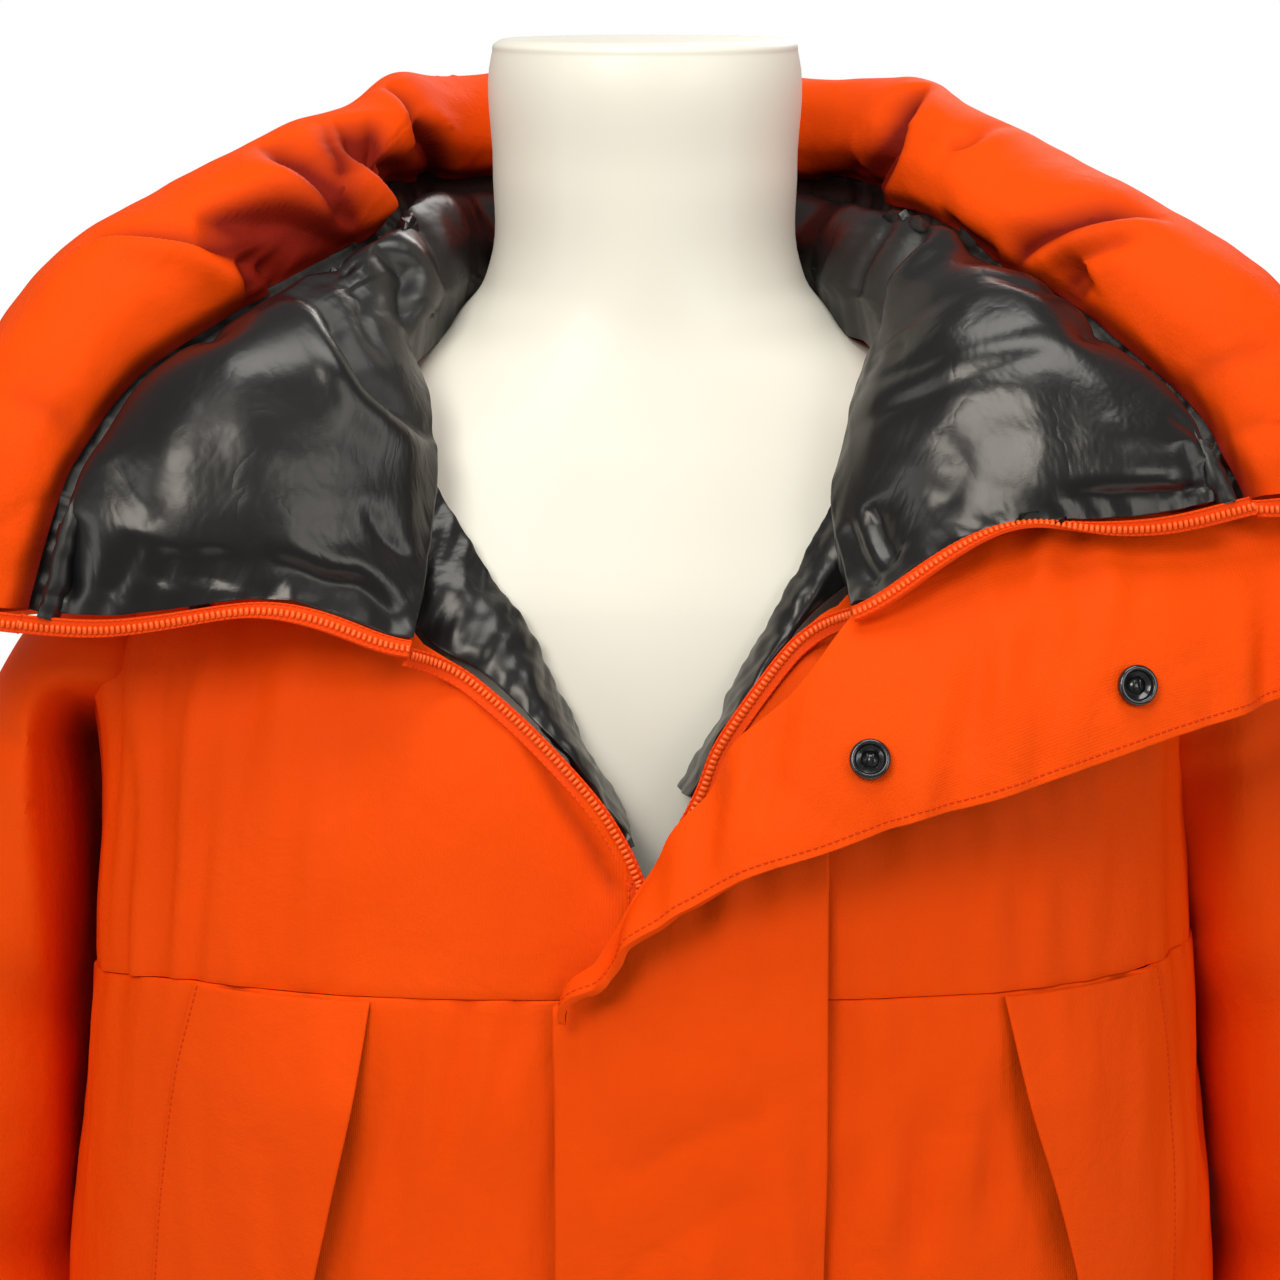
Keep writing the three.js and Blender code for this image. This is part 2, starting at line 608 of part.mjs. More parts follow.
function collarZip(side) {
  const last = SECTIONS.length - 1;
  const k = side < 0 ? 0 : last;
  const near = side < 0 ? 0.25 : last - 0.25;
  const places = Array.from({ length: 13 }, (_, i) => 0.15 + (i * 8.2) / 12);
  const grid = places.map((w) => {
    const p = collarPoint(k, w);
    const way = unit(sub(p, collarPoint(near, w)));
    return [1.5, 1.5 + ZIP.width / 2, 1.5 + ZIP.width].map((d) => add(p, way, d));
  });
  const out = normals(grid)[5][1][1] < 0 ? -1 : 1;
  return wall(offset(grid, -out * 0.6), offset(grid, out * (ZIP.thick + 0.6)));
}

function liningStrip(table, side) {
  const steps = (table.length - 1) * 2;
  const rows = table.map((row) => [row.ix, row.iz, row.ox, row.oz]);
  const grid = Array.from({ length: steps + 1 }, (_, i) => {
    const [ix, iz, ox, oz] = through(rows, i / 2);
    const form = atHeight(FORM, iz);
    const share = Math.min(Math.abs(ix) / form.wide, 0.99);
    const formY = -form.front * (1 - share ** form.square) ** (1 / form.square);
    const inner = [ix, formY - 7, iz];
    const outer = [ox, frontY(ox, oz) + 1, oz];
    return [0, 0.25, 0.5, 0.75, 1].map((t) => {
      const p = lerp(inner, outer, t);
      return [p[0], p[1] - 5 * Math.sin(Math.PI * t), p[2]];
    });
  });
  const back = grid.map((row) => row.map(([x, y, z]) => [x, y + 5, z]));
  return wall(grid, back);
}

// The flap's surface: along it in rows of its table, and across it from the fold to the hem.
function flapPoint(along, across) {
  const rows = FLAP.map((row) => [row.ax, row.ay, row.az, row.bx, row.by, row.bz]);
  const [ax, ay, az, bx, by, bz] = through(rows, along);
  const width = Math.hypot(bx - ax, bz - az);
  const p = lerp([ax, ay, az], [bx, by, bz], across);
  return [p[0], p[1] - 0.1 * width * Math.sin(Math.PI * across), p[2]];
}

function makeFlap() {
  const steps = (FLAP.length - 1) * 2;
  const grid = Array.from({ length: steps + 1 }, (_, i) =>
    [0, 0.15, 0.35, 0.55, 0.8, 1].map((t) => flapPoint(i / 2, t)),
  );
  const back = grid.map((row) => row.map(([x, y, z]) => [x, y + SHELL, z]));
  return wall(grid, back);
}

function makePlacket() {
  const heights = [-298, -312, -330, -349, -372, -400, -450, -520, -600, -700, -780, HEM + 2];
  const fold = (z) => Math.max(PLACKET.left, -29 + (z + 349) * 0.62);
  const grid = heights.map((z) => {
    const left = z > -349 ? fold(z) : PLACKET.left;
    return [0, 0.1, 0.3, 0.5, 0.7, 0.9, 1].map((t) => {
      const x = left + (PLACKET.right - left) * t;
      const puff = PLACKET.lift + 3 * Math.sin(Math.PI * t);
      return [x, frontY(x, z) - puff, z];
    });
  });
  const back = grid.map((row) => row.map(([x, y, z]) => [x, y + SHELL, z]));
  return wall(grid, back);
}

function makePocket(table) {
  const rows = table.map((row) => [row.z, row.inner, row.outer]);
  const steps = (table.length - 1) * 2;
  const grid = Array.from({ length: steps + 1 }, (_, i) => {
    const [z, inner, outer] = through(rows, i / 2);
    const shut = Math.min(i, steps - i) / steps;
    return [0, 0.08, 0.25, 0.5, 0.75, 0.92, 1].map((t) => {
      const x = inner + (outer - inner) * t;
      const gape = 9 * Math.min(1, shut * 5) * (1 - t) ** 1.5;
      return [x, frontY(x, z) - SHELL - SEAM - gape - 2 * Math.sin(Math.PI * t), z];
    });
  });
  const back = grid.map((row) => row.map(([x, y, z]) => [x, y + SHELL, z]));
  return wall(grid, back);
}

function flapSnap({ along, across }) {
  const place = flapPoint(along, across);
  const down = sub(flapPoint(along, across + 0.03), flapPoint(along, across - 0.03));
  const over = sub(flapPoint(along + 0.05, across), flapPoint(along - 0.05, across));
  const way = unit(cross(over, down));
  const facing = way[1] < 0 ? way : way.map((v) => -v);
  return makeSnap(add(place, facing, 0.5), facing);
}

function makeSnap(place, facing) {
  const { outer, hole, height, sides } = SNAP;
  const profile = [
    [hole, 0.9],
    [hole + 0.6, height],
    [outer - 1.6, height],
    [outer - 0.3, height - 1],
    [outer, 0],
    [0, 0],
    [0, 0.9],
  ];
  const made = Manifold.revolve([profile.reverse()], sides);
  const turn = new THREE.Quaternion().setFromUnitVectors(
    new THREE.Vector3(0, 0, 1),
    new THREE.Vector3(...facing).normalize(),
  );
  const angles = new THREE.Euler().setFromQuaternion(turn, "ZYX");
  const degrees = [angles.x, angles.y, angles.z].map((v) => (v * 180) / Math.PI);
  return made.rotate(degrees).translate(place);
}

function makeStand() {
  const { radius, height, chamfer } = BASE;
  const floor = -NECK_TOP;
  const disc = Manifold.revolve(
    [[[0, 0], [radius, 0], [radius, height - chamfer], [radius - chamfer, height], [0, height]]],
    48,
  ).translate([0, 0, floor]);
  const low = floor + height + 0.2;
  const pole = Manifold.cylinder(POLE.top - 0.3 - low, POLE.radius, POLE.radius, 20).translate([0, 0, low]);
  return { disc, pole };
}

function makeForm(cloth) {
  const heights = FORM.map((row) => row.z);
  const shape = filled(rings(FORM, heights, 28));
  return biggest(shape.subtract(cloth));
}

const body = makeBody();
const sleeves = { left: makeSleeve(-1), right: makeSleeve(1) };
const opening = vPrism();
const open = body.wall
  .subtract(opening)
  .subtract(sleeves.left.hollow)
  .subtract(sleeves.right.hollow);
const half = SEAM / 2;
const front = open.subtract(box(-FAR, FAR, -half, FAR, -FAR, FAR));
const rear = open.subtract(box(-FAR, FAR, -FAR, half, -FAR, FAR));
const leftHalf = box(-FAR, -half, -FAR, FAR, -FAR, FAR);
const rightHalf = box(half, FAR, -FAR, FAR, -FAR, FAR);
const above = (z) => box(-FAR, FAR, -FAR, FAR, z + half, FAR);
const below = (z) => box(-FAR, FAR, -FAR, FAR, -FAR, z - half);
const blocked = body.grown.add(sleeves.left.grown).add(sleeves.right.grown);
const form = makeForm(body.thick);
const formGrown = filled(offset(rings(FORM, FORM.map((row) => row.z), 28), REST, true));
const clearOf = (shape) => biggest(shape.subtract(blocked).subtract(formGrown));
const trimSleeve = (sleeve) => biggest(sleeve.wall.subtract(body.grown));
const stand = makeStand();
const group = new THREE.Group();

function put(name, shape, material) {
  const { vertProperties, triVerts, numProp } = shape.translate([0, 0, NECK_TOP]).getMesh();
  const positions = [];
  for (let i = 0; i < vertProperties.length; i += numProp) {
    positions.push(vertProperties[i], vertProperties[i + 1], vertProperties[i + 2]);
  }
  const geometry = new THREE.BufferGeometry();
  geometry.setAttribute("position", new THREE.Float32BufferAttribute(positions, 3));
  geometry.setIndex(Array.from(triVerts));
  geometry.computeVertexNormals();
  const mesh = new THREE.Mesh(geometry, material);
  mesh.name = name;
  group.add(mesh);
}

function makeStud() {
  const facing = unit([-0.35, -1, 0.15]);
  const place = [STUD.x, frontY(STUD.x, STUD.z), STUD.z];
  const { radius, height } = STUD;
  const made = Manifold.cylinder(height, radius, radius * 0.8, 16);
  const turned = new THREE.Quaternion().setFromUnitVectors(
    new THREE.Vector3(0, 0, 1),
    new THREE.Vector3(...facing),
  );
  const angles = new THREE.Euler().setFromQuaternion(turned, "ZYX");
  const degrees = [angles.x, angles.y, angles.z].map((v) => (v * 180) / Math.PI);
  return made.rotate(degrees).translate(add(place, facing, 0.8));
}

put("stand_base", stand.disc, MATERIAL.stand);
put("stand_pole", stand.pole, MATERIAL.stand);
put("dress_form", form, MATERIAL.form);
put("yoke_left", biggest(front.intersect(leftHalf).intersect(above(YOKE_SEAM))), MATERIAL.shell);
put("yoke_right", biggest(front.intersect(rightHalf).intersect(above(YOKE_SEAM))), MATERIAL.shell);
put("front_left", biggest(front.intersect(leftHalf).intersect(below(YOKE_SEAM))), MATERIAL.shell);
put("front_right", biggest(front.intersect(rightHalf).intersect(below(YOKE_SEAM))), MATERIAL.shell);
put("back_yoke", biggest(rear.intersect(above(BACK_SEAM))), MATERIAL.shell);
put("back", biggest(rear.intersect(below(BACK_SEAM))), MATERIAL.shell);
put("sleeve_left", trimSleeve(sleeves.left), MATERIAL.shell);
put("sleeve_right", trimSleeve(sleeves.right), MATERIAL.shell);
const inward = -1;
put("collar_lining", clearOf(collarWall(0, 4.98, 8, inward * SHELL)), MATERIAL.lining);
put("collar_band", clearOf(collarWall(5.02, 9.6, 8, inward * SHELL)), MATERIAL.shell);
put("hood_shell", clearOf(collarWall(9.64, 13, 7, inward * SHELL)), MATERIAL.shell);
put("front_zip_left", clearOf(frontZip(-1)), MATERIAL.tape);
put("front_zip_right", clearOf(frontZip(1)), MATERIAL.tape);
put("collar_zip_left", clearOf(collarZip(-1)), MATERIAL.tape);
put("collar_zip_right", clearOf(collarZip(1)), MATERIAL.tape);
put("body_lining_left", biggest(liningStrip(LINING_LEFT, -1).subtract(formGrown)), MATERIAL.lining);
put("body_lining_right", biggest(liningStrip(LINING_RIGHT, 1).subtract(formGrown)), MATERIAL.lining);
put("storm_flap", clearOf(makeFlap()), MATERIAL.shell);
put("placket", clearOf(makePlacket()), MATERIAL.shell);
SOCKETS.forEach((at, i) => put(`snap_socket_${i + 1}`, flapSnap(at), MATERIAL.snap));
put("snap_stud", clearOf(makeStud()), MATERIAL.snap);
put("pocket_left", clearOf(makePocket(POCKET_LEFT)), MATERIAL.shell);
put("pocket_right", clearOf(makePocket(POCKET_RIGHT)), MATERIAL.shell);

export default group;
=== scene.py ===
# %% [markdown]
# # A puffer jacket on a dress form
# A hooded down parka, unzipped to the chest, with its padded collar spread wide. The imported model
# gives every solid in its place, and here each gets its fine shape and finish. The tables are in
# millimetres from the top of the form's neck, and meshes in Blender's metres.

# %% Load the frame
import math

import bmesh
import bpy
import numpy as np
from mathutils import Matrix, Vector


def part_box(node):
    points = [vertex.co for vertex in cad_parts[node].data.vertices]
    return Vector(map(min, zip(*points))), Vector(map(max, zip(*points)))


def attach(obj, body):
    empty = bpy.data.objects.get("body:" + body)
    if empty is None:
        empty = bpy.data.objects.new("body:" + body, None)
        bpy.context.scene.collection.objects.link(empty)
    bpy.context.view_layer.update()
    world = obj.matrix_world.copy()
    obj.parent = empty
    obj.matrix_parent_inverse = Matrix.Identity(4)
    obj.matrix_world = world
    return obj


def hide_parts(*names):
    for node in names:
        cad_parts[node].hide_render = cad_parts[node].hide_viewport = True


scene = bpy.context.scene
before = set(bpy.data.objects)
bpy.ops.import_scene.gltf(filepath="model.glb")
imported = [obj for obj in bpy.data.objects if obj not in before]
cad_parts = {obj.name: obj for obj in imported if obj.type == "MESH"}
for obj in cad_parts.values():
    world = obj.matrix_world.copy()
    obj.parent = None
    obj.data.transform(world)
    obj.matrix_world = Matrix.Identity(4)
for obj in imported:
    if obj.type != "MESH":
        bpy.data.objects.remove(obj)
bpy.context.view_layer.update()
print("frame loaded:", len(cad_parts), "nodes")

# %% Where the neck's top and the main seams are
NECK_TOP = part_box("dress_form")[1][2] * 1000
HEM, YOKE_SEAM, BACK_SEAM = -835.0, -349.0, -330.0
SIDES = ((-1, "left"), (1, "right"))
print("neck top at", round(NECK_TOP), "mm")

# %% [markdown]
# ## Tables and smooth curves
# Cloth is described by short tables, a row for each section. One curve through all its points,
# with the slope at each taken from its two neighbours, joins the rows.


# %% A curve through points
def through(points, t):
    points = np.asarray(points, float)
    last = len(points) - 1
    t = np.clip(np.asarray(t, float), 0, last)
    i = np.clip(np.floor(t).astype(int), 0, last - 1)
    f = t - i
    f = f.reshape(f.shape + (1,) * (points.ndim - 1))
    a, b = points[np.maximum(i - 1, 0)], points[i]
    c, d = points[i + 1], points[np.minimum(i + 2, last)]
    m0, m1 = (c - a) / 2, (d - b) / 2
    f2, f3 = f * f, f * f * f
    return b * (2 * f3 - 3 * f2 + 1) + m0 * (f3 - 2 * f2 + f) + c * (3 * f2 - 2 * f3) + m1 * (f3 - f2)


def table(names, text):
    """Rows of named numbers. A semicolon also ends a row, and commas join a group of numbers."""
    rows = [line.split() for line in text.strip().replace(";", "\n").splitlines()]
    cells = [[[float(v) for v in word.split(",")] for word in row] for row in rows]
    return [dict(zip(names.split(), [c if len(c) > 1 else c[0] for c in row])) for row in cells]


def rows_of(rows, *names):
    return np.array([[row[name] for name in names] for row in rows], float)


def unit(v):
    return v / np.maximum(np.linalg.norm(v, axis=-1, keepdims=True), 1e-9)


# %% [markdown]
# ## The sections of the body, form, sleeve and collar
# A row for one section reads like a tailor's size chart: half width, depth to the front and
# back, and how square the section is. The solids have the same sizes.

# %% Size tables
BODY = table("z wide front back square", """
-116 90 66 80 2.2
-126 116 73 88 2.3
-140 142 79 96 2.4
-158 168 87 104 2.5
-180 194 96 111 2.6
-205 214 108 118 2.7
-235 224 126 125 2.8
-270 218 141 131 2.9
-320 219 151 137 3
-372 223 157 142 3
-430 228 159 145 2.9
-500 233 160 148 2.8
-600 237 163 152 2.7
-720 240 167 156 2.6
-835 241 169 158 2.6
""")
FORM = table("z wide front back square", """
0 57 55 55 2
-1.5 59.5 57.5 57.5 2
-5 60.5 58.5 58.5 2
-50 60.5 58 59 2
-88 62 58 60 2
-98 66 58.8 61 2.05
-106 73 59.8 63 2.1
-116 83 61.8 65 2.2
-128 107 65.4 75 2.3
-143 136 70.6 86 2.4
-162 162 78 95 2.4
-184 183 86 101 2.4
-212 194 96 106 2.4
-250 192 104 110 2.3
-310 184 112 112 2.3
-400 168 112 104 2.2
-500 154 102 92 2.2
-600 162 110 104 2.2
-680 170 114 112 2.2
-700 164 108 106 2.2
""")
SLEEVE = table("out y z across deep", """
186 2 -212 28 62
206 1 -238 36 74
226 0 -274 42 80
246 -1 -326 44 82
268 -2 -392 45 81
289 -5 -466 46 78
299 -10 -550 47 74
303 -17 -640 46 70
303 -25 -740 44 66
301 -31 -850 42 61
""")
COLLAR_LEFT = table("ix iy iz cx cy cz tx ty tz", """
-86 -138 -215 -226 -136 -205 -276 -112 -204
-81 -114 -187 -215 -136 -171 -272 -98 -150
-78 -98 -161 -205 -124 -147 -247 -76 -106
-80 -84 -136 -184 -106 -119 -224 -51 -77
-88 -64 -113 -152 -80 -98 -189 -25 -57
-84 -38 -106 -123 -58 -84 -150 8 -37
-74 -10 -101 -98 -28 -72 -124 30 -30
-67 25 -98 -90 12 -62 -106 56 -17
-48 54 -95 -66 62 -62 -76 90 -18
""")
COLLAR_BACK = table("ix iy iz cx cy cz tx ty tz", "0 69 -92 0 86 -62 0 118 -14")
COLLAR_RIGHT = table("ix iy iz cx cy cz tx ty tz", """
76 -138 -203 217 -134 -162 282 -106 -166
73 -114 -186 209 -132 -146 274 -94 -138
71 -98 -165 199 -122 -130 258 -80 -107
79 -84 -133 178 -106 -110 234 -61 -83
87 -64 -110 152 -80 -89 199 -36 -62
83 -38 -104 127 -56 -81 160 -4 -42
73 -10 -100 108 -28 -67 131 26 -27
66 25 -98 89 10 -66 113 54 -18
48 54 -95 66 62 -64 74 90 -20
""")
SWELL = table("pillow valley band o l h u n", """
9 2 4 3,6,-5 1,14,-10 -18,14,-12 0,4,-3 4,11,-7
20 6 12 6,12,-10 6,28,-24 -12,38,-32 0,14,-10 4,12,-9
26 8 15 8,16,-14 8,34,-40 -8,46,-72 0,20,-20 5,10,-10
26 10 17 10,17,-16 14,34,-60 2,44,-112 0,22,-10 4,9,-8
18 11 16 12,14,-18 20,24,-62 12,32,-112 0,32,-19 2,11,-6
12 11 14 12,14,-20 22,30,-72 22,44,-122 4,46,-20 1,12,-6
8 10 13 12,18,-20 26,50,-85 28,84,-162 6,66,-26 1,12,-7
7 9 12 8,24,-22 20,72,-95 20,98,-205 10,84,-50 1,13,-9
6 8 12 4,28,-20 6,74,-100 4,94,-240 6,80,-62 1,14,-11
6 8 12 0,30,-20 0,64,-105 0,80,-265 0,76,-70 0,15,-12
""")
V_LEFT = table("x z", "0 -305; -8 -289; -20 -272; -43 -249; -66 -231; -86 -219")
V_RIGHT = table("x z", "0 -305; 18 -274; 27 -254; 48 -227; 62 -214; 76 -205")
print("tables:", len(BODY), "body,", len(FORM), "form,", len(SLEEVE), "sleeve sections")

# %% [markdown]
# ## The body's surface
# A section of a worn jacket is between an oval and a rectangle, and a superellipse has one
# number for that. Every panel, pocket and flap uses it, so they lie on one another as sewn
# cloth does.


# %% Body and form surfaces
def section_at(sizes, z):
    """Sizes at a height. Rows stand at uneven steps, so each slope is weighted by its steps."""
    down = -rows_of(sizes, "z")[:, 0]
    values = rows_of(sizes, "wide", "front", "back", "square")
    step = np.diff(down)[:, None]
    rise = np.diff(values, axis=0) / step
    inner = (rise[:-1] * step[1:] + rise[1:] * step[:-1]) / (step[1:] + step[:-1])
    slope = np.concatenate([rise[:1], inner, rise[-1:]])
    place = np.clip(-np.asarray(z, float), down[0], down[-1])
    i = np.clip(np.searchsorted(down, place, side="right") - 1, 0, len(down) - 2)
    h = step[i]
    t = (place - down[i])[..., None] / h
    t2, t3 = t * t, t * t * t
    ends = values[i] * (2 * t3 - 3 * t2 + 1) + values[i + 1] * (3 * t2 - 2 * t3)
    return ends + h * (slope[i] * (t3 - 2 * t2 + t) + slope[i + 1] * (t3 - t2))


def around(sizes, angle, z):
    angle, z = np.broadcast_arrays(np.asarray(angle, float), np.asarray(z, float))
    wide, front, back, square = np.moveaxis(section_at(sizes, z), -1, 0)
    s, c = np.sin(angle), np.cos(angle)
    depth = np.where(c > 0, -front, back)
    x = wide * np.sign(s) * np.abs(s) ** (2 / square)
    return np.stack([x, depth * np.abs(c) ** (2 / square), z], -1)


def front_y(x, z, sizes=BODY):
    wide, front, _, square = np.moveaxis(section_at(sizes, z), -1, 0)
    share = np.minimum(np.abs(x) / wide, 0.995)
    return -front * (1 - share**square) ** (1 / square)


def even(t):
    """From 0 to 1 with a level start and end."""
    t = np.clip(t, 0, 1)
    return t * t * (3 - 2 * t)


def bell(x):
    return np.exp(-(x**2))


# %% [markdown]
# ## From a grid of points to a mesh
# Every sheet starts as Blender's flat grid, with four-sided faces and a UV map. Each vertex is
# then carried to its place. The UV map has the cloth's real size in metres, so a weave of half
# a millimetre stays half a millimetre.


# %% Mesh helpers
def steps(points, axis):
    return np.linalg.norm(np.diff(points, axis=axis), axis=-1)


def flat_size(points):
    """The mean width and length of a grid of points, in metres."""
    return tuple(float(steps(points, axis).sum(axis=axis).mean()) / 1000 for axis in (1, 0))


def metres(points):
    return (np.asarray(points, float) + [0, 0, NECK_TOP]) / 1000


def added(name, data):
    item = bpy.data.objects.new(name, data)
    scene.collection.objects.link(item)
    return item


def to_object(bm, name):
    mesh = bpy.data.meshes.new(name)
    bm.to_mesh(mesh)
    bm.free()
    mesh.shade_smooth()
    return added(name, mesh)


def grid_piece(name, points, wrap=False, flip=False, painted_shade=None):
    rows, cols = points.shape[:2]
    size, places = flat_size(points), metres(points)
    bm = bmesh.new()
    uv = bm.loops.layers.uv.new("UVMap")
    # Each vertex keeps a painted shade value, which the shell's finish blends into its colour as shade in
    # creases and gaps.
    depth = bm.verts.layers.float.new("painted_shade")
    bmesh.ops.create_grid(bm, x_segments=cols - 1, y_segments=rows - 1, size=1, calc_uvs=True)
    for face in bm.faces:
        for loop in face.loops:
            at = loop.vert.co
            loop[uv].uv = ((at.x + 1) / 2 * size[0], (at.y + 1) / 2 * size[1])
    for vert in bm.verts:
        j = round((vert.co.x + 1) / 2 * (cols - 1))
        i = round((vert.co.y + 1) / 2 * (rows - 1))
        vert[depth] = 0.0 if painted_shade is None else painted_shade[i, j]
        vert.co = places[i, j]
    if wrap:
        bmesh.ops.remove_doubles(bm, verts=bm.verts, dist=1e-6)
    if flip:
        bmesh.ops.reverse_faces(bm, faces=bm.faces)
    return to_object(bm, name)


def normals_of(points):
    return unit(np.cross(np.gradient(points, axis=1), np.gradient(points, axis=0)))


def thicken(piece, thick, inner_slot=0, edge=0.9):
    solid = piece.modifiers.new("wall", "SOLIDIFY")
    solid.thickness, solid.offset, solid.material_offset = thick / 1000, -1, inner_slot
    rim = piece.modifiers.new("soft edge", "BEVEL")
    rim.width, rim.segments, rim.limit_method = edge / 1000, 2, "ANGLE"
    rim.angle_limit = math.radians(62)
    return piece


# %% [markdown]
# ## Creases, one by one
# Nylon over down doesn't ripple evenly. It pinches along a few sharp lines, each between two
# puffs. Points near such a line sink, those beside it rise a little, and shade is painted along it.


# %% Crease helper
def beside_path(points, normals, path):
    """Each point's distance from a curve on the cloth, its side of it and its share of the way."""
    line = through(path, np.linspace(0, len(path) - 1, 17))
    found = np.ones((3, *points.shape[:2])) * [[[1e9]], [[1]], [[0]]]
    for i, (start, way) in enumerate(zip(line[:-1], np.diff(line, axis=0))):
        offset = points - start
        t = np.clip(offset @ way / max(way @ way, 1e-9), 0, 1)
        offset = offset - t[..., None] * way
        away = np.linalg.norm(offset, axis=-1)
        side = np.tanh((np.cross(normals, unit(way)) * offset).sum(-1) / 1.5)
        found = np.where(away < found[0], (away, side, (i + t) / 16), found)
    return found


def crease_rows(text, place=np.array):
    """A crease a line: its places, a colon, its depth and width, and how far one side rides up."""
    found = []
    for places, sizes in (line.split(":") for line in text.strip().splitlines()):
        spots = np.array([spot.split() for spot in places.split(",")], float)
        found.append((place(spots), *map(float, sizes.split())))
    return found


def creased(points, normals, creases):
    """The points moved by all creases, and a painted shade mask that is strongest deep in a crease."""
    moved, painted_shade = np.zeros(points.shape[:2]), np.zeros(points.shape[:2])
    for path, deep, wide, lean in creases:
        away, side, share = beside_path(points, normals, path)
        fade = np.clip(share / 0.3, 0, 1) ** 0.7 * np.clip(0.4 + (1 - share) / 0.3, 0, 1)
        steep = 1 - 0.45 * side * np.sign(lean)
        dip = np.exp((1.2 - np.hypot(away, 1.2)) / (1.15 * wide * steep)) * deep * 0.9
        over = bell((away * side * np.sign(lean) - 1.6 * wide) / (1.5 * wide)) * abs(lean)
        moved += over * np.sin(np.pi * share) - dip * fade
        # Painted shade: strongest at the bottom of each crease, and wider for the deep ones.
        painted_shade += fade * dip / 6.5 * bell(away / (2.3 * wide * steep))
        painted_shade += fade * max(deep - 5, 0) / 13 * bell(away / (3 * wide * steep))
    return points + normals * moved[..., None], np.clip(painted_shade - 0.2, 0, 1)


def edge_distance(points, edge):
    """How far every point of a grid lies from one of its four edges, in millimetres."""
    axis = 0 if edge in ("low", "high") else 1
    run = np.insert(np.cumsum(steps(points, axis), axis=axis), 0, 0, axis=axis)
    last = np.take(run, [-1], axis=axis)
    return run if edge in ("low", "start") else last - run


def gathers(points, edge, seed, reach, deep, pitch):
    """Small puckers across a seam, where stitches hold more cloth than thread."""
    rng = np.random.default_rng(seed)
    run = edge_distance(points, "start" if edge in ("low", "high") else "low")
    total = 0
    for _ in range(6):
        length = pitch * rng.uniform(0.7, 2.6)
        total += np.sin(run / length * 2 * np.pi + rng.uniform(0, 6.28)) * rng.uniform(0.3, 1)
    return total * deep / 3 * bell(edge_distance(points, edge) / reach)


def waves(points, seed, size, depth):
    """Soft uneven ripples from a few seeded waves, at several sizes."""
    rng = np.random.default_rng(seed)
    total = 0
    for octave in range(3):
        for _ in range(5):
            way = unit(rng.normal(size=3)) * (2 * np.pi / (size / 1.9**octave))
            total += np.sin(points @ way + rng.uniform(0, 6.28)) * depth / 2.2**octave / 3
    return total


def hanging(points, seed, depth):
    """Long soft folds that run down the cloth, in patches and at uneven distances."""
    rng = np.random.default_rng(seed)
    total = 0
    for size in rng.uniform(13, 38, 7):
        turn = rng.normal(0, 0.1)
        way = np.array([np.cos(turn), rng.normal(0, 0.4), np.sin(turn)]) * (2 * np.pi / size)
        total += np.sin(points @ way + rng.uniform(0, 6.28)) * size / 38
    patch = 0.5 + 0.5 * np.sin(points @ (rng.normal(size=3) / 28) + rng.uniform(0, 6.28))
    return total * patch * depth * 2.2


# %% [markdown]
# ## Light, floor and camera
# The photograph is a shop picture: white all round, soft light from the front and above, and a
# long lens that looks slightly down. A neck of 127 mm that spans 318 pixels, and a rim seen
# almost edge on, give the camera's distance, height and tilt.


# %% Camera
camera_data = bpy.data.cameras.new("camera")
SENSOR, FOCAL_PIXELS, PICTURE_PIXELS, TILT = 36, 3750, 1280, 10.9
camera_data.sensor_width = SENSOR
camera_data.lens = SENSOR * FOCAL_PIXELS / PICTURE_PIXELS
camera_data.clip_end = 60
camera = added("camera", camera_data)
camera.location = (-0.002, -1.5, (NECK_TOP + 47) / 1000)
camera.rotation_euler = (math.radians(90 - TILT), 0, 0)
scene.camera = camera
print("lens", round(camera_data.lens, 1), "mm")


# %% Lights and floor
def lamp(name, place, aim, size, power, color=(1, 1, 1)):
    data = bpy.data.lights.new(name, "AREA")
    data.shape = "RECTANGLE"
    data.size, data.size_y = size
    data.energy, data.color = power, color
    item = added(name, data)
    item.location = place
    x, y, z = np.subtract(aim, place)
    item.rotation_euler = (math.acos(-z / math.hypot(x, y, z)), 0, math.atan2(y, x) - math.pi / 2)


lamp("key", (-0.7, -1.55, 2.1), (0, 0, 1.12), (0.85, 0.8), 18.5, (1, 0.975, 0.93))
lamp("fill", (1.5, -2.2, 1.9), (0, 0, 1.05), (1.2, 1.2), 13, (1, 0.985, 0.95))
lamp("top", (0.1, -0.5, 2.9), (0, 0, 1.1), (1.3, 0.9), 19)
lamp("left strip", (-2.0, -1.15, 1.2), (0, 0, 1.1), (0.5, 1.9), 8)
lamp("right strip", (2.0, -1.15, 1.2), (0, 0, 1.1), (0.5, 1.9), 9)
lamp("behind", (0.7, 2.3, 2.6), (0, 0, 1.0), (1.2, 1.0), 24, (1, 0.985, 0.95))
world = bpy.data.worlds.new("studio")
scene.world = world
world.use_nodes = True
nodes, link = world.node_tree.nodes, world.node_tree.links.new
air, paper = nodes["Background"], nodes.new("ShaderNodeBackground")
for item, strength in ((air, 0.25), (paper, 1.0)):
    item.inputs["Color"].default_value = (1, 1, 1, 1)
    item.inputs["Strength"].default_value = strength
rays, mixed = nodes.new("ShaderNodeLightPath"), nodes.new("ShaderNodeMixShader")
link(rays.outputs["Is Camera Ray"], mixed.inputs[0])
link(air.outputs[0], mixed.inputs[1])
link(paper.outputs[0], mixed.inputs[2])
link(mixed.outputs[0], nodes["World Output"].inputs["Surface"])
scene.view_settings.view_transform = "Standard"
scene.view_settings.look = "None"

bm = bmesh.new()
bmesh.ops.create_circle(bm, cap_ends=True, segments=96, radius=1.1)
floor = to_object(bm, "floor")

# %% [markdown]
# ## Finishes as expressions
# A node graph is easier to read as arithmetic. One small class wraps a socket, so that
# `noise * 0.3 + 0.5` adds its Math nodes by itself, and one method adds any other node.


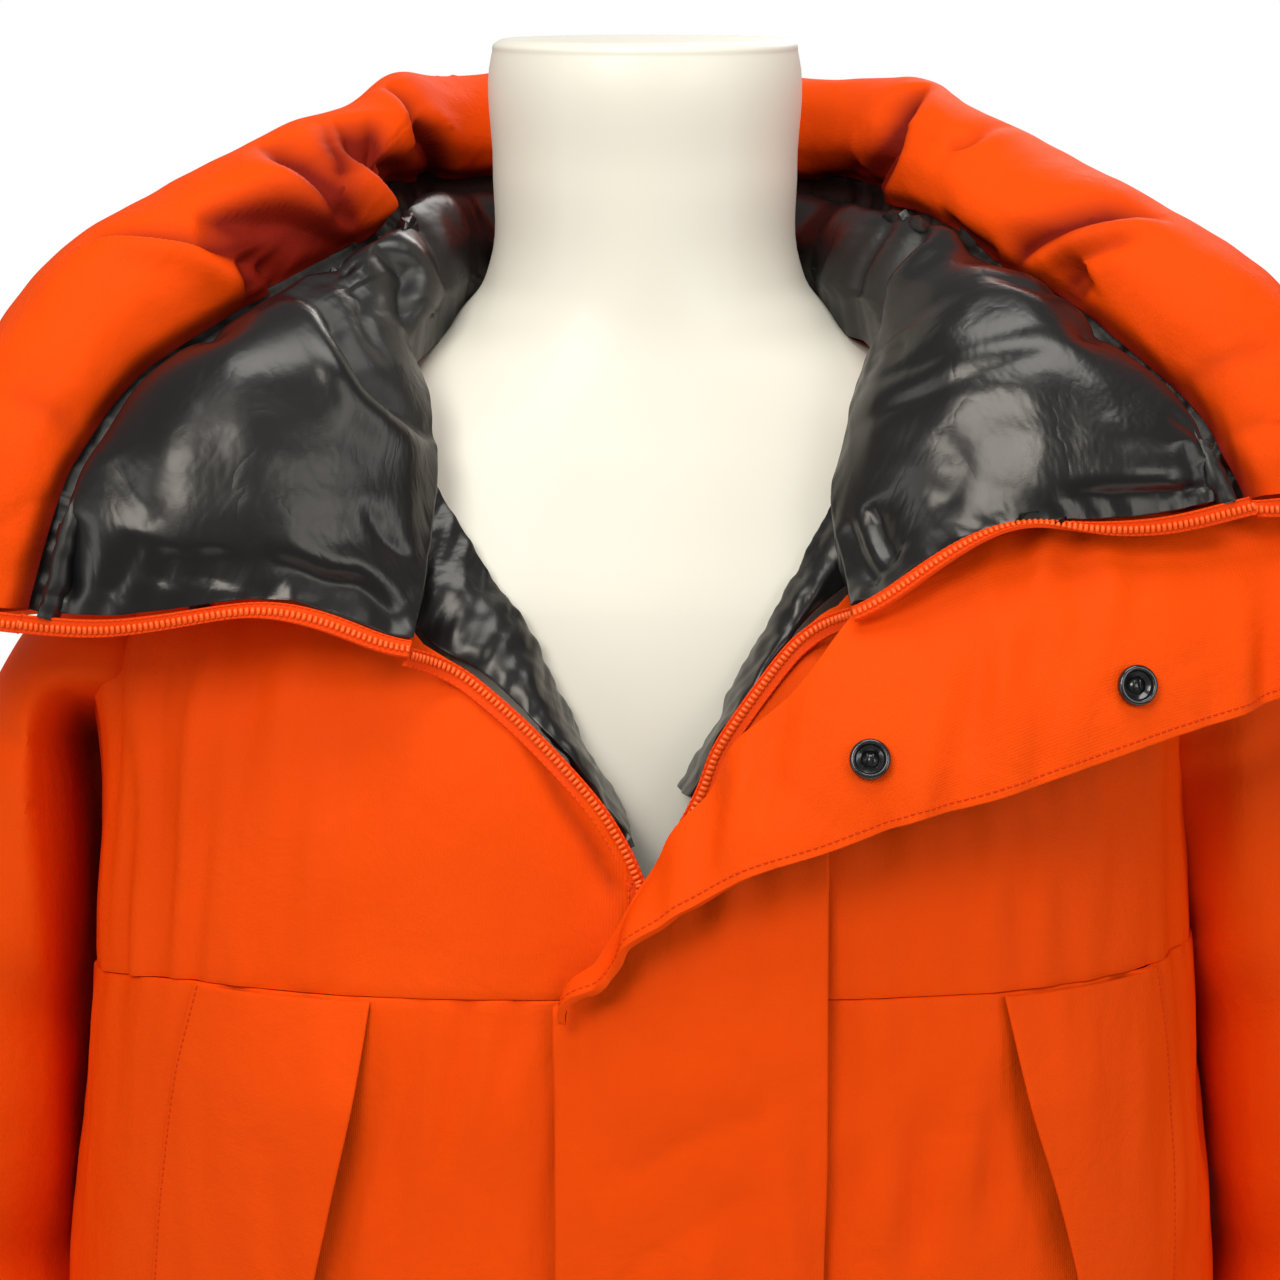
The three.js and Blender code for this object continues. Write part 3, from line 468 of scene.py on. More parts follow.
# %% Socket arithmetic
class Value:
    def __init__(self, finish, socket):
        self.finish, self.socket = finish, socket

    def math(self, operation, *other):
        return self.finish.add("Math", 0, dict(enumerate([self, *other])), operation=operation)

    def __add__(self, other):
        return self.math("ADD", other)

    def __sub__(self, other):
        return self.math("SUBTRACT", other)

    def __mul__(self, other):
        return self.math("MULTIPLY", other)

    def __abs__(self):
        return self.math("ABSOLUTE")


class Finish:
    def __init__(self, name, **uniform):
        self.material = bpy.data.materials.new(name)
        self.material.use_nodes = True
        self.tree = self.material.node_tree
        self.shader = self.tree.nodes["Principled BSDF"]
        for key, value in uniform.items():
            self.shader.inputs[key.replace("_", " ")].default_value = value

    def feed(self, socket, value):
        if isinstance(value, Value):
            self.tree.links.new(value.socket, socket)
        else:
            socket.default_value = value

    def vary(self, socket, value):
        self.feed(self.shader.inputs[socket], value)

    def add(self, kind, out=0, sockets=None, **settings):
        """A new node with its settings and sockets. Gives one of its outputs."""
        made = self.tree.nodes.new("ShaderNode" + kind)
        for key, value in settings.items():
            setattr(made, key, value)
        for key, value in (sockets or {}).items():
            self.feed(made.inputs[key], value)
        return Value(self, made.outputs[out])

    def coordinates(self, kind="Object", scale=(1, 1, 1)):
        return self.add("Mapping", 0, {"Vector": self.add("TexCoord", kind), "Scale": scale})

    def noise(self, where, scale, detail=2.0, rough=0.5, distort=0.0):
        names = ("Vector", "Scale", "Detail", "Roughness", "Distortion")
        return self.add("TexNoise", 0, dict(zip(names, (where, scale, detail, rough, distort))))

    def threads(self, where, scale, direction):
        sockets = {"Vector": where, "Scale": scale, "Distortion": 0.6, "Detail": 1.0}
        return self.add("TexWave", "Fac", sockets, bands_direction=direction, wave_profile="SIN")

    # Reads the painted shade value of each vertex.
    def painted_shade(self):
        return self.add("Attribute", "Fac", attribute_name="painted_shade")

    def blend(self, share, first, second):
        return self.add("Mix", 2, {0: share, 6: first, 7: second}, data_type="RGBA")

    def bump(self, height, distance, strength):
        sockets = {"Height": height, "Distance": distance, "Strength": strength}
        self.vary("Normal", self.add("Bump", 0, sockets))


# %% [markdown]
# ## Shell, lining, form and hardware finishes
# The shell is a tight matt weave, with shade painted into its colour, darker and redder deep in a fold.
# The lining is a thin slippery nylon that glints on every crinkle. The form is moulded plastic and the
# snaps are black enamel.


# %% Cloth finishes
def shell_finish(name, first, second, roughness):
    finish = Finish(name, Specular_IOR_Level=0.05)
    place, cloth = finish.coordinates("Object"), finish.coordinates("UV")
    cloud = finish.blend(finish.noise(place, 7.0, 3.0), first, second)
    # Painted shade: the base colour turns a deep crimson where the painted shade mask is high, in
    # creases, collar valleys and the sleeve gap.
    finish.vary("Base Color", finish.blend(finish.painted_shade(), cloud, (0.19, 0.009, 0.003, 1)))
    finish.vary("Roughness", finish.noise(place, 30.0, 2.0) * 0.12 + roughness)
    weave = finish.threads(cloth, 420.0, "X") * finish.threads(cloth, 420.0, "Y")
    fibres = finish.noise(cloth, 700.0, 1.0) * 0.02
    pucker = finish.noise(place, 26.0, 4.0, 0.6, 0.6)
    streak = finish.noise(finish.coordinates("Object", (1, 1, 0.2)), 50.0, 3.0, 0.55, 0.3)
    finish.bump(pucker * 0.25 + streak * 0.2 + weave * 0.014 + fibres, 0.011, 0.55)
    return finish.material


shell = shell_finish("shell_cloth", (0.85, 0.064, 0.001, 1), (0.90, 0.080, 0.002, 1), 0.5)
tape = shell_finish("zip_tape", (0.80, 0.055, 0.004, 1), (0.88, 0.075, 0.006, 1), 0.5)


def nylon_finish(name, color):
    finish = Finish(name, Base_Color=color, Specular_IOR_Level=0.55, Specular_Tint=(1, 0.95, 0.88, 1))
    place = finish.coordinates("Object", (1, 1, 0.55))
    cloth = finish.coordinates("UV")
    # On the lining the painted shade mask only raises the roughness; its colour stays even.
    finish.vary("Roughness", finish.noise(place, 30.0, 3.0) * 0.18 + 0.21 + finish.painted_shade() * 0.2)
    crinkle = abs(finish.noise(place, 17.0, 4.0, 0.6, 0.9) - 0.5)
    fine = finish.noise(place, 70.0, 3.0, 0.55, 0.6)
    weave = finish.noise(cloth, 900.0, 1.0) * 0.01
    finish.bump(crinkle * 0.8 + fine * 0.09 + weave, 0.005, 0.4)
    return finish.material


lining = nylon_finish("lining_nylon", (0.006, 0.0058, 0.0064, 1))


# %% Hard finishes
def moulded_finish(name, color, roughness, coat, shine=0.5):
    finish = Finish(name, Base_Color=color, Coat_Roughness=0.08, Specular_IOR_Level=shine)
    place = finish.coordinates("Object")
    finish.vary("Roughness", finish.noise(place, 20.0, 3.0) * 0.06 + roughness)
    finish.vary("Coat Weight", finish.noise(place, 3.0, 1.0) * 0.05 + coat)
    finish.bump(finish.noise(place, 5.0, 2.0) + finish.noise(place, 300.0, 2.0) * 0.004, 0.003, 0.25)
    return finish.material


ivory = moulded_finish("ivory_form", (0.84, 0.80, 0.68, 1), 0.42, 0.04)
paint = moulded_finish("stand_paint", (0.72, 0.71, 0.68, 1), 0.32, 0.2)
enamel = moulded_finish("black_enamel", (0.008, 0.008, 0.009, 1), 0.2, 0.5)
coil = moulded_finish("zip_coil", (0.95, 0.12, 0.006, 1), 0.35, 0.1, 0.4)
thread = moulded_finish("stitching", (0.66, 0.045, 0.002, 1), 0.6, 0.0, 0.1)
white = moulded_finish("floor_white", (0.9, 0.9, 0.9, 1), 0.7, 0.0)
floor.data.materials.append(white)
print("finishes ready")


# %% [markdown]
# ## Handing a piece in
# Each cloth piece takes the place of its rigid solid, rides on the same body and says how big the
# cloth was before it was sewn. Hidden inner faces of the jacket take the black lining.


# %% Piece helpers
def finish_piece(piece, materials, nodes):
    for item in materials:
        piece.data.materials.append(item)
    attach(piece, "root")
    if nodes:
        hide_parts(*nodes)
    return piece


def sheet_of(piece, points):
    flat = flat_size(points)
    share = float((steps(points, 1)[:-1] * steps(points, 0)[:, :-1]).sum()) / 1e6 / (flat[0] * flat[1])
    area = min(max(share, 0.3), 1.0) * flat[0] * flat[1]
    print(piece.name, "cut", round(flat[0], 3), "by", round(flat[1], 3), "m")


# %% [markdown]
# ## The dress form and its stand
# The form is a moulded shell with no arms. Its sections are few and smooth, so a tube through
# them is exact. The neck's rim is rounded and a faint mould line runs down the middle.


# %% Dress form
def capped(points, count):
    """Rings that close a tube's top ring towards its middle."""
    middle = points[-1].mean(axis=0)
    scale = np.linspace(1, 0.002, count + 1)[1:, None, None]
    return np.concatenate([points, middle + (points[-1] - middle) * scale])


zones = ((-700, -215, 30), (-212, -90, 50), (-88, -6, 16), (-5, 0, 10))
heights = np.concatenate([np.linspace(*zone) for zone in zones])
form_points = around(FORM, np.linspace(-np.pi, np.pi, 145)[None, :], heights[:, None])
mould_line = bell(form_points[..., 0] / 1.3) * 0.25 * (form_points[..., 1] < 0)
form_points[..., 1] -= mould_line
form_points = np.concatenate([capped(form_points[:1], 10)[:0:-1], capped(form_points, 12)])
form = finish_piece(grid_piece("form_shell", form_points, wrap=True), [ivory], ["dress_form"])
print("form", [round(v * 1000) for v in form.dimensions])


# %% Stand
def spun(name, outline, count=96):
    bm = bmesh.new()
    verts = [bm.verts.new((r / 1000, 0, z / 1000)) for r, z in outline]
    edges = [bm.edges.new(pair) for pair in zip(verts, verts[1:])]
    turn = {"cent": (0, 0, 0), "axis": (0, 0, 1), "angle": math.tau, "use_merge": True}
    bmesh.ops.spin(bm, geom=verts + edges, steps=count, **turn)
    bmesh.ops.remove_doubles(bm, verts=bm.verts, dist=1e-6)
    bmesh.ops.recalc_face_normals(bm, faces=bm.faces)
    return to_object(bm, name)


base_outline = [(0, 0), (167, 0), (169, 0.6), (170, 2), (170, 7.5), (169, 9.8), (166, 11.4)]
base_outline += [(163, 12), (60, 12), (18, 12), (0, 12)]
finish_piece(spun("base_disc", base_outline), [paint], ["stand_base"])
low, high = (corner[2] * 1000 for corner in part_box("stand_pole"))
pole_outline = [(0, low), (13.4, low), (14, low + 0.6), (14, high - 0.6), (13.4, high), (0, high)]
finish_piece(spun("pole_tube", pole_outline, 64), [paint], ["stand_pole"])
print("stand from", round(low), "to", round(high), "mm")

# %% [markdown]
# ## Drapes in the body's cloth
# The jacket hangs from the shoulders, so its folds run up and down and are longest at the sides
# and back. A drape has an angle round the body, a width, a depth, and a top and bottom. The
# solids have the large ones.

# %% Body surface with drapes
DRAPES = table("angle wide deep top bottom", """
102 13 -6 -330 -780
-104 14 -7 -340 -800
-86 12 6 -390 -760
84 12 2 -390 -760
118 13 -7 -300 -830
143 11 -5 -380 -860
172 15 -7 -430 -860
-150 13 -7 -350 -860
-122 11 -6 -310 -840
""")
FINE_DRAPES = table("angle wide deep top bottom", """
-62 3.2 -2.2 -240 -420
-48 4 -1.6 -380 -640
-34 3 1.3 -240 -345
-26 3.4 -1.8 -560 -850
27 3.2 1.2 -330 -420
33 3.6 -1.8 -600 -860
46 4 -1.6 -300 -470
66 3.6 -2.4 -260 -460
97 5 -2.6 -380 -640
131 4 -2.2 -420 -700
158 5 -2.4 -340 -620
-97 5 -2.8 -420 -700
-136 4.5 -2.2 -350 -600
-168 5 -2.2 -500 -860
""")


def drape(degrees, z, rows):
    total = 0
    for row in rows:
        share = np.clip((row["top"] - z) / (row["top"] - row["bottom"]), 0, 1)
        turned = (degrees - row["angle"] + 180) % 360 - 180
        total += row["deep"] * bell(turned / row["wide"]) * np.sin(np.pi * share**0.8)
    return total


def body_point(angle, z):
    points = around(BODY, angle, z)
    degrees = np.degrees(angle)
    far = np.linalg.norm(points[..., :2], axis=-1)
    moved = drape(degrees, points[..., 2], DRAPES) + drape(degrees, points[..., 2], FINE_DRAPES)
    points[..., :2] *= ((far + moved) / far)[..., None]
    return points


def spaced(low, high, count):
    """Angles that space points evenly along a squarish section."""
    t = np.linspace(0, 1, count)
    return low + (high - low) * (0.45 * t + 0.55 * even(t))


# %% [markdown]
# ## Fronts, yokes and back
# Each panel is its own piece, cut along the real seams. A yoke's upper edge follows the open zip,
# the collar's seam and the shoulder, so the top of every column of its grid is found first.
# Stitches gather padded cloth, so it is pulled in a little along each seam.


# %% Where the fronts are open
OPEN_LEFT = V_LEFT + table("x z", "-92 -200; -93 -160; -100 -122; -100 -100")
OPEN_RIGHT = V_RIGHT + table("x z", "84 -190; 87 -160; 97 -122; 97 -100")


def open_edge(z, side):
    points = rows_of(OPEN_LEFT if side < 0 else OPEN_RIGHT, "x", "z")
    count = (len(points) - 1) * 8 + 1
    curve = through(points, np.linspace(0, len(points) - 1, count))
    return np.abs(np.interp(z, curve[:, 1], curve[:, 0]))


def top_of_column(angle, side, low):
    heights = np.linspace(low, -117, 500)
    points = around(BODY, angle, heights)
    inside = (np.abs(points[:, 0]) < open_edge(heights, side)) & (heights > -305)
    return heights[np.argmax(inside)] if inside.any() else heights[-1]


def seam_pull(points, edges, wide, deep):
    """How far the cloth is pulled in near the named edges of a grid."""
    i, j = np.indices(points.shape[:2])
    away = {"low": i, "high": i[::-1], "start": j, "end": j[:, ::-1]}
    return -deep * sum(bell(away[edge] / wide) for edge in edges)


def seam_height(angles):
    """The yoke seam's height. On the left it falls a little towards the side."""
    return YOKE_SEAM - 13 * even((np.degrees(-angles) - 38) / 45)


def between(angles, low, high, rows):
    """A grid on the body that rises at each angle from one height to another."""
    share = np.linspace(0, 1, rows)[:, None]
    return body_point(angles[None, :], low + (high - low) * share)


def yoke_grid(side):
    angles = spaced(0, np.pi / 2, 96) * side
    tops = np.array([top_of_column(a, side, YOKE_SEAM + 1) for a in angles])
    points = between(angles, seam_height(angles) + 0.1, tops, 84)
    return points if side > 0 else points[:, ::-1]


def front_grid(side):
    angles = spaced(*np.radians((-90, 0) if side < 0 else (0, 90)), 86)
    return between(angles, HEM, seam_height(angles) - 0.1, 98)


# %% Make the panels
def cloth_panel(name, points, node, edges, seed, creases=(), wall=3.0, ripple=0.5):
    normals = normals_of(points)
    shifted = seam_pull(points, edges, 1.5, 0.5)
    shifted = shifted + waves(points, seed, 60, ripple) + hanging(points, seed, ripple)
    for edge in edges:
        shifted = shifted + gathers(points, edge, seed + 5, 8, 0.4, 9)
        shifted = shifted + gathers(points, edge, seed, 70, 0.9, 30)
    moved, painted_shade = creased(points + normals * shifted[..., None], normals, creases)
    piece = thicken(grid_piece(name, moved, painted_shade=painted_shade), wall, 1)
    finish_piece(piece, [shell, lining], [node])
    sheet_of(piece, moved)
    return moved


def on_front(spots):
    """Points on the front of the body, from rows of x and z."""
    x, z = spots.T
    return np.stack([x, front_y(x, z), z], 1)


YOKE_CREASES = {-1: """
-42 -254, -31 -275, -21 -290, -8 -315 : 4 3.5 3
-150 -250, -156 -300, -150 -345 : 1.2 9 0
-92 -262, -84 -300, -88 -345 : 1.3 12 0
""", 1: "176 -262, 180 -300, 178 -345 : 1.5 9 0"}
for side, word in SIDES:
    folds = crease_rows(YOKE_CREASES[side], on_front)
    cloth_panel("yoke_cloth_" + word, yoke_grid(side), "yoke_" + word, ["low"], 11 + side, folds)
    cloth_panel("front_cloth_" + word, front_grid(side), "front_" + word, ["high", "low"], 21 + side)


right, back, left = np.pi / 2, np.pi, 1.5 * np.pi
turn = np.concatenate([spaced(right, back, 60), spaced(back, left, 60)[1:]])
grid = between(turn, HEM, BACK_SEAM - 0.3, 80)
cloth_panel("back_cloth", grid, "back", ["high", "low"], 31)
grid = between(turn, BACK_SEAM + 0.3, -117, 36)
cloth_panel("back_yoke_cloth", grid, "back_yoke", ["low"], 33)

# %% [markdown]
# ## Sleeves
# An empty padded sleeve hangs flat and slumps at the elbow into a few deep folds on its inner
# side. It is a tube along a centre line, with the folds of the solid and smaller ones between.

# %% Sleeve surface
SLEEVE_FOLDS = table("at angle long round deep", """
2.6 150 0.3 60 6
3.7 250 0.28 75 7
4.5 60 0.3 65 6
5.2 230 0.3 80 8
6 275 0.27 85 9
6.6 80 0.3 70 6
7.5 300 0.32 60 6
""")
FINE_FOLDS = table("at angle long round deep", """
1.7 250 0.12 40 2.5
2.1 285 0.12 45 3
3.1 210 0.13 50 3
4.1 300 0.13 45 3
4.8 160 0.14 50 3
5.6 20 0.14 60 3
6.3 180 0.13 60 3.5
7 240 0.14 50 3
7.9 100 0.14 60 3
8.4 220 0.14 60 2.5
""")


def sleeve_grid(side, rows=124, cols=105):
    line = rows_of(SLEEVE, "out", "y", "z", "across", "deep")
    t = np.linspace(len(line) - 1, 0, rows)
    out, y, z, across, deep = np.moveaxis(through(line, t), -1, 0)
    ahead, behind = (through(line[:, [0, 2]], t + step) for step in (0.2, -0.2))
    way = unit(ahead - behind)
    angle = np.linspace(0, 2 * np.pi, cols)[None, :]
    degrees = np.degrees(angle)
    dip = np.zeros((rows, cols))
    for row in SLEEVE_FOLDS + FINE_FOLDS:
        turned = (degrees - row["angle"] + 180) % 360 - 180
        near = bell((t[:, None] - row["at"]) / row["long"])
        dip += row["deep"] * near * bell(turned / row["round"])
    c, s = (np.sign(v) * np.abs(v) ** 0.9 for v in (np.cos(angle), np.sin(angle)))
    fuller = 1 + 0.42 * even((t[:, None] - 3.6) / 2) * (c < 0)
    wide = (across[:, None] - dip) * c * fuller
    x = out[:, None] - way[:, 1:2] * wide
    height = z[:, None] + way[:, 0:1] * wide
    depth = y[:, None] + (deep[:, None] - dip) * s
    return np.stack([side * x, depth, height], -1)


def tucked(points, deep):
    """The front of a sleeve folds back beside the body, which leaves a deep gap there. Its share is also
    painted as shade into that gap.
    """
    x, y, z = np.abs(points[..., 0]), points[..., 1], points[..., 2]
    edge = 229 + 0.13 * deep + 4 * np.clip((z + 340) / 70, 0, 1)
    share = even((edge - x) / 18) * even(-y / 45) * even((-z - 238) / 45)
    points[..., 1] += deep * share
    return points, share


for side, word in SIDES:
    # Painted shade: the tuck's share, squared, is painted into the sleeve's colour, strongly on the left
    # and faintly on the right.
    deep, painted_gap_shade = (70, 0.85) if side < 0 else (8, 0.15)
    points, gap = tucked(sleeve_grid(side), deep)
    normals = normals_of(points) * (1 if side > 0 else -1)
    gather = seam_pull(points, ["low"], 4, 1.6)
    points = points + normals * (gather + waves(points, 40 + side, 70, 0.7))[..., None]
    points[:, -1] = points[:, 0]
    piece = grid_piece("sleeve_cloth_" + word, points, True, side < 0, gap**2 * painted_gap_shade)
    thicken(piece, 3.0, 1)
    finish_piece(piece, [shell, lining], ["sleeve_" + word])
    sheet_of(piece, points)

# %% [markdown]
# ## The spread collar and hood
# A black padded pillow on each side, an orange band that rolls over behind it, and the hood's
# cloth that falls down the back are three strips of one surface. Each of its 19 sections, from
# one zip end round the neck to the other, runs from the form over the band and back underneath.


# %% Collar sections
def collar_sections():
    rows = [{**row, **SWELL[i], "side": -1} for i, row in enumerate(COLLAR_LEFT)]
    rows += [{**COLLAR_BACK[0], **SWELL[-1], "side": 0}]
    rows += [{**row, **SWELL[i], "side": 1} for i, row in enumerate(COLLAR_RIGHT)][::-1]
    inner, crest, top = (rows_of(rows, k + "x", k + "y", k + "z") for k in "ict")
    side = rows_of(rows, "side")[:, 0]

    def facing(line, chord):
        beside = np.concatenate([line[1:2] - line[:1], line[2:] - line[:-2], line[-1:] - line[-2:-1]])
        n = unit(np.cross(beside, chord))
        return n * np.where(n @ np.array([0, -0.7, 1]) < 0, -1, 1)[:, None]

    first, second = crest - inner, top - crest
    n1, n2 = facing(crest, first), facing(top, second)
    pillow, valley, band = np.moveaxis(rows_of(rows, "pillow", "valley", "band"), -1, 0)[..., None]

    def shifted(start, key):
        move = np.array([row[key] for row in rows], float)
        move[:, 0] *= side
        return start + move

    parts = [inner]
    parts += [inner + a * first + n1 * pillow * b for a, b in ((0.14, 0.6), (0.42, 1), (0.76, 0.8))]
    parts += [crest, crest + 0.08 * second - n2 * valley]
    parts += [crest + 0.3 * second + n2 * band * 0.7, crest + 0.68 * second + n2 * band, top]
    parts += [shifted(top, key) for key in "olh"]
    return np.stack(parts + [shifted((inner + crest) / 2, "u"), shifted(inner, "n")], 1)


SECTIONS = collar_sections()
LAST = len(SECTIONS) - 1


def collar_points(k, w):
    """Points at stations k (0 to 18) and places w along each section (0 to 13)."""
    points = through(np.moveaxis(through(SECTIONS, k), 1, 0), w)
    for end, high in ((0, 13), (LAST, 15)):
        near = np.clip(1 - np.abs(k - end) / 2, 0, 1) ** 2
        bow = bell((w - 1.8) / 0.95) + bell((w - 12.2) / 0.8)
        points[..., 2] += high * bow[:, None] * near
    return points


def on_collar(spots):
    return np.array([collar_points(np.array([k]), np.array([w]))[0, 0] for k, w in spots])


print("collar:", SECTIONS.shape[0], "sections of", SECTIONS.shape[1], "points")

# %% [markdown]
# ## Creases of the collar
# A place on the collar is a station from 0 to 18 and how far along its section it lies. The deep
# creases break the band's outline, as on the real jacket.

# %% Creases and the three strips
BAND_CREASES = """
3 7.4, 3.28 7, 3.55 6.62, 3.83 6.28, 4.12 5.85, 4.42 5.55, 4.65 5.18 : 6 4.5 -6
3.95 6.6, 4.33 6.3, 4.7 6, 5.03 5.65, 5.33 5.38, 5.78 5.03 : 12 8 5
4.8 7.6, 4.88 6.9, 5.03 6.45, 5.2 6.1, 5.4 5.73, 5.7 5.43 : 10 7 -4
5.53 7.43, 5.48 6.83, 5.53 6.45, 5.5 6.23 : 5 4 0
5.78 7.35, 5.78 6.75, 5.9 6.35, 6.15 5.93, 6.6 5.5, 7.18 5.1 : 10 6 -6
6.18 7.08, 6.15 6.6, 6.18 6.25, 6.73 5.65, 7.25 5.2 : 8 5 0
6.8 7.58, 6.88 7.1, 6.95 6.6, 7.03 6.3, 7.15 6 : 8 4 -3
7.1 6.45, 7.28 6.2, 7.48 5.8, 7.68 5.3, 7.78 5 : 10 5 3
4.17 5.73, 4.2 5.53, 4.23 5.28 : 7 4 -2
4.42 5.53, 4.5 5.35, 4.62 5.12 : 6 4 -1
11.23 7.65, 11.35 6.65, 11.1 5.95, 10.65 5.23, 10.62 5 : 12 5 3
11.35 6.43, 11.28 5.88, 10.78 5.12 : 7 3.5 0
10.6 5.68, 10.3 5.38, 10 5 : 7 6 0
12.62 7.65, 12.4 6.68, 12.1 6.35 : 4 4 1
14.4 7.12, 14.1 6.6, 13.8 6.05, 13.5 5.6, 13.33 5.3 : 8 5 6
14.4 6.45, 14.2 5.95, 13.85 5.4 : 4 5 1
14.15 5.68, 14.03 5.3 : 6 3.5 0
14.25 5.58, 14.18 5.28 : 5 3 0
12.1 5.35, 12.55 5.3, 13.08 5.33 : 7 6 2
16.1 7, 15.8 5.9, 15.7 5.2 : 3 9 0
17.2 6.8, 16.8 5.9, 16.7 5.2 : 2 8 0
1.6 7.2, 1.9 6, 2 5.2 : 3 9 0
0.4 6.8, 0.9 5.8, 1.2 5.2 : 2 7 0
8.4 7.5, 8.6 5.3 : 6 7 2
9.5 7.7, 9.3 5.4 : 6 8 0
8.9 6.9, 9 5.6 : 4 5 0
"""
LINING_CREASES = """
4.3 3.6, 3.98 2.5, 3.53 2, 3.03 1.55, 2.8 1.1, 2.6 0.35 : 11 6 -4
5.5 3.7, 5.4 2.4, 4.95 1.68, 4.25 0.25 : 9 6 3
4.7 3.8, 4.65 2.55, 4.03 1.8, 3.33 1.15 : 5 6 0
6.4 4.5, 6.2 2.6, 5.7 1 : 6 7 0
5 4.8, 5.1 3.9, 5 3.3 : 4 4 0
3.5 4.8, 3.6 4.1, 3.4 3.5 : 4 4 0
0.75 2.1, 0.5 1.48, 0.53 1.1, 0.3 0.6 : 4 4 2
0.9 3.1, 0.58 3.12, 0.25 3.18 : 3 4 0
0.8 2.78, 0.4 2.78 : 3 3.5 0
0.8 2.45, 0.35 2.38 : 3.5 4 0
1.1 3.9, 0.62 3.8, 0.2 3.6 : 6 4.5 0
1.5 1.3, 1.1 1, 0.9 0.5 : 2.5 4 0
1.9 3.6, 1.4 3.3, 1.1 3 : 2 6 0
12 4.6, 12.38 3.35, 12.8 2.23, 13.23 1.23, 13.8 0.3 : 10 6 4
11.4 4.4, 11.8 3, 12.3 1.4, 12.6 0.4 : 6 6 0
14.4 0.3, 14.35 1.2, 14.2 2.4 : 2.6 5 0
15.4 0.3, 15.4 1.6, 15.2 2.9 : 2.6 5 0
14.95 0.3, 15 1.6, 14.8 3 : 2.2 5 0
14.7 0.4, 14.65 1.4 : 2.5 3.5 0
13.9 2.9, 14.2 3.5, 14.1 4.3 : 3 5 0
14.8 4.8, 14.7 4.2, 14.9 3.5 : 4 4 0
16.45 0.83, 17 0.85, 17.5 0.93 : 5 3.5 -2
16.6 0.4, 17.2 0.5, 17.7 0.6 : 3.5 3 0
17.3 2.5, 17.53 3.23, 17.7 3.65 : 3 4 2
16.7 3.7, 17.3 3.65, 17.7 3.62 : 4 3.5 0
17.1 3.95, 17.6 3.98 : 4 3 0
16.1 3.7, 16.5 3.9, 17 4.3 : 3 4 0
15.85 1.78, 16.43 1.88, 17 1.53 : 2.5 8 0
"""
HOOD_CREASES = """
7 9.8, 7.4 10.6, 7.6 11.6 : 5 7 2
8.4 9.7, 8.1 10.8, 8.2 11.8 : 6 8 -2
9.6 10.1, 9.9 12.1 : 7 9 0
10.9 9.8, 10.5 10.8, 10.6 11.8 : 6 8 2
12 9.9, 11.6 11.2 : 4 7 0
5 9.8, 5.6 11 : 4 6 0
13.4 9.8, 13 11 : 4 6 0
"""


def collar_strip(name, widths, cols, node, material, seed, creases, ripple,
                 puckers=(), valleys=(), calm=99, facing=0):
    stations = np.linspace(0, LAST, cols)
    points = collar_points(stations, widths)
    normals = normals_of(points)
    folded, painted_shade = creased(points, normals, crease_rows(creases, on_collar))
    points = points + (folded - points) * even((calm - widths) / 0.9)[:, None, None]
    moved = waves(points, seed, 55, ripple)
    for edge, reach, deep, pitch in puckers:
        moved = moved + gathers(points, edge, seed + len(edge), reach, deep, pitch)
    # Valleys sink the cloth along an edge and add painted shade there; the facing's hem rows take the
    # painted shade of the first row.
    for edge, reach, deep in valleys:
        near = bell(edge_distance(points, edge) / reach)
        moved, painted_shade = moved - deep * near, np.clip(painted_shade + near, 0, 1)
    points = points + normals * moved[..., None]
    if facing:
        long = facing * even(np.minimum(stations, LAST - stations) / 1.5)[:, None]
        drop = unit(points[0] * [1, 1, 0]) * 0.2 - [0, 0, 1]
        hem = [points[0] + drop * (long * s + 0.2 * s) for s in (1, 0.75, 0.5, 0.25)]
        points, painted_shade = np.concatenate([hem, points]), np.concatenate([painted_shade[:1]] * 4 + [painted_shade])
    piece = thicken(grid_piece(name, points, painted_shade=painted_shade), 3.0)
    finish_piece(piece, [material], [node])


PILLOW_PUCKERS = (("high", 9, 1.1, 10), ("start", 11, 1.3, 15), ("end", 11, 1.3, 15), ("low", 6, 0.3, 14))
ROLL_PUCKERS = (("low", 9, 0.8, 22), ("start", 7, 0.6, 10), ("end", 7, 0.6, 10))
collar_strip(
    "collar_pillow", np.linspace(0, 5.2, 82), 350, "collar_lining", lining, 3, LINING_CREASES, 0.9,
    PILLOW_PUCKERS, [("high", 10, 9)], facing=14,
)
collar_strip(
    "collar_roll", np.linspace(5.12, 9.6, 86), 400, "collar_band", shell, 5, BAND_CREASES, 0.8,
    ROLL_PUCKERS, [("low", 5, 5)], calm=8.2,
)
collar_strip("hood_cloth", np.linspace(9.64, 12.5, 46), 180, "hood_shell", shell, 7, HOOD_CREASES, 1.0)

# %% [markdown]
# ## Small repeated shapes
# Zip teeth and stitches are hundreds of copies of one tiny shape. Its points are carried to every
# place along a curve with arrays, and all the copies become one mesh.


# %% Shapes along a curve
def small_shape(size, edge):
    """The points and faces of a tiny rounded block, long in x and standing in z."""
    bm = bmesh.new()
    bmesh.ops.create_cube(bm, size=1)
    bmesh.ops.scale(bm, vec=size, verts=bm.verts)
    soft = {"segments": 1, "profile": 0.5, "affect": "EDGES", "material": -1}
    bmesh.ops.bevel(bm, geom=bm.edges[:], offset=edge, **soft)
    bm.verts.index_update()
    points = np.array([vert.co[:] for vert in bm.verts])
    faces = [[vert.index for vert in face.verts] for face in bm.faces]
    bm.free()
    return points, faces


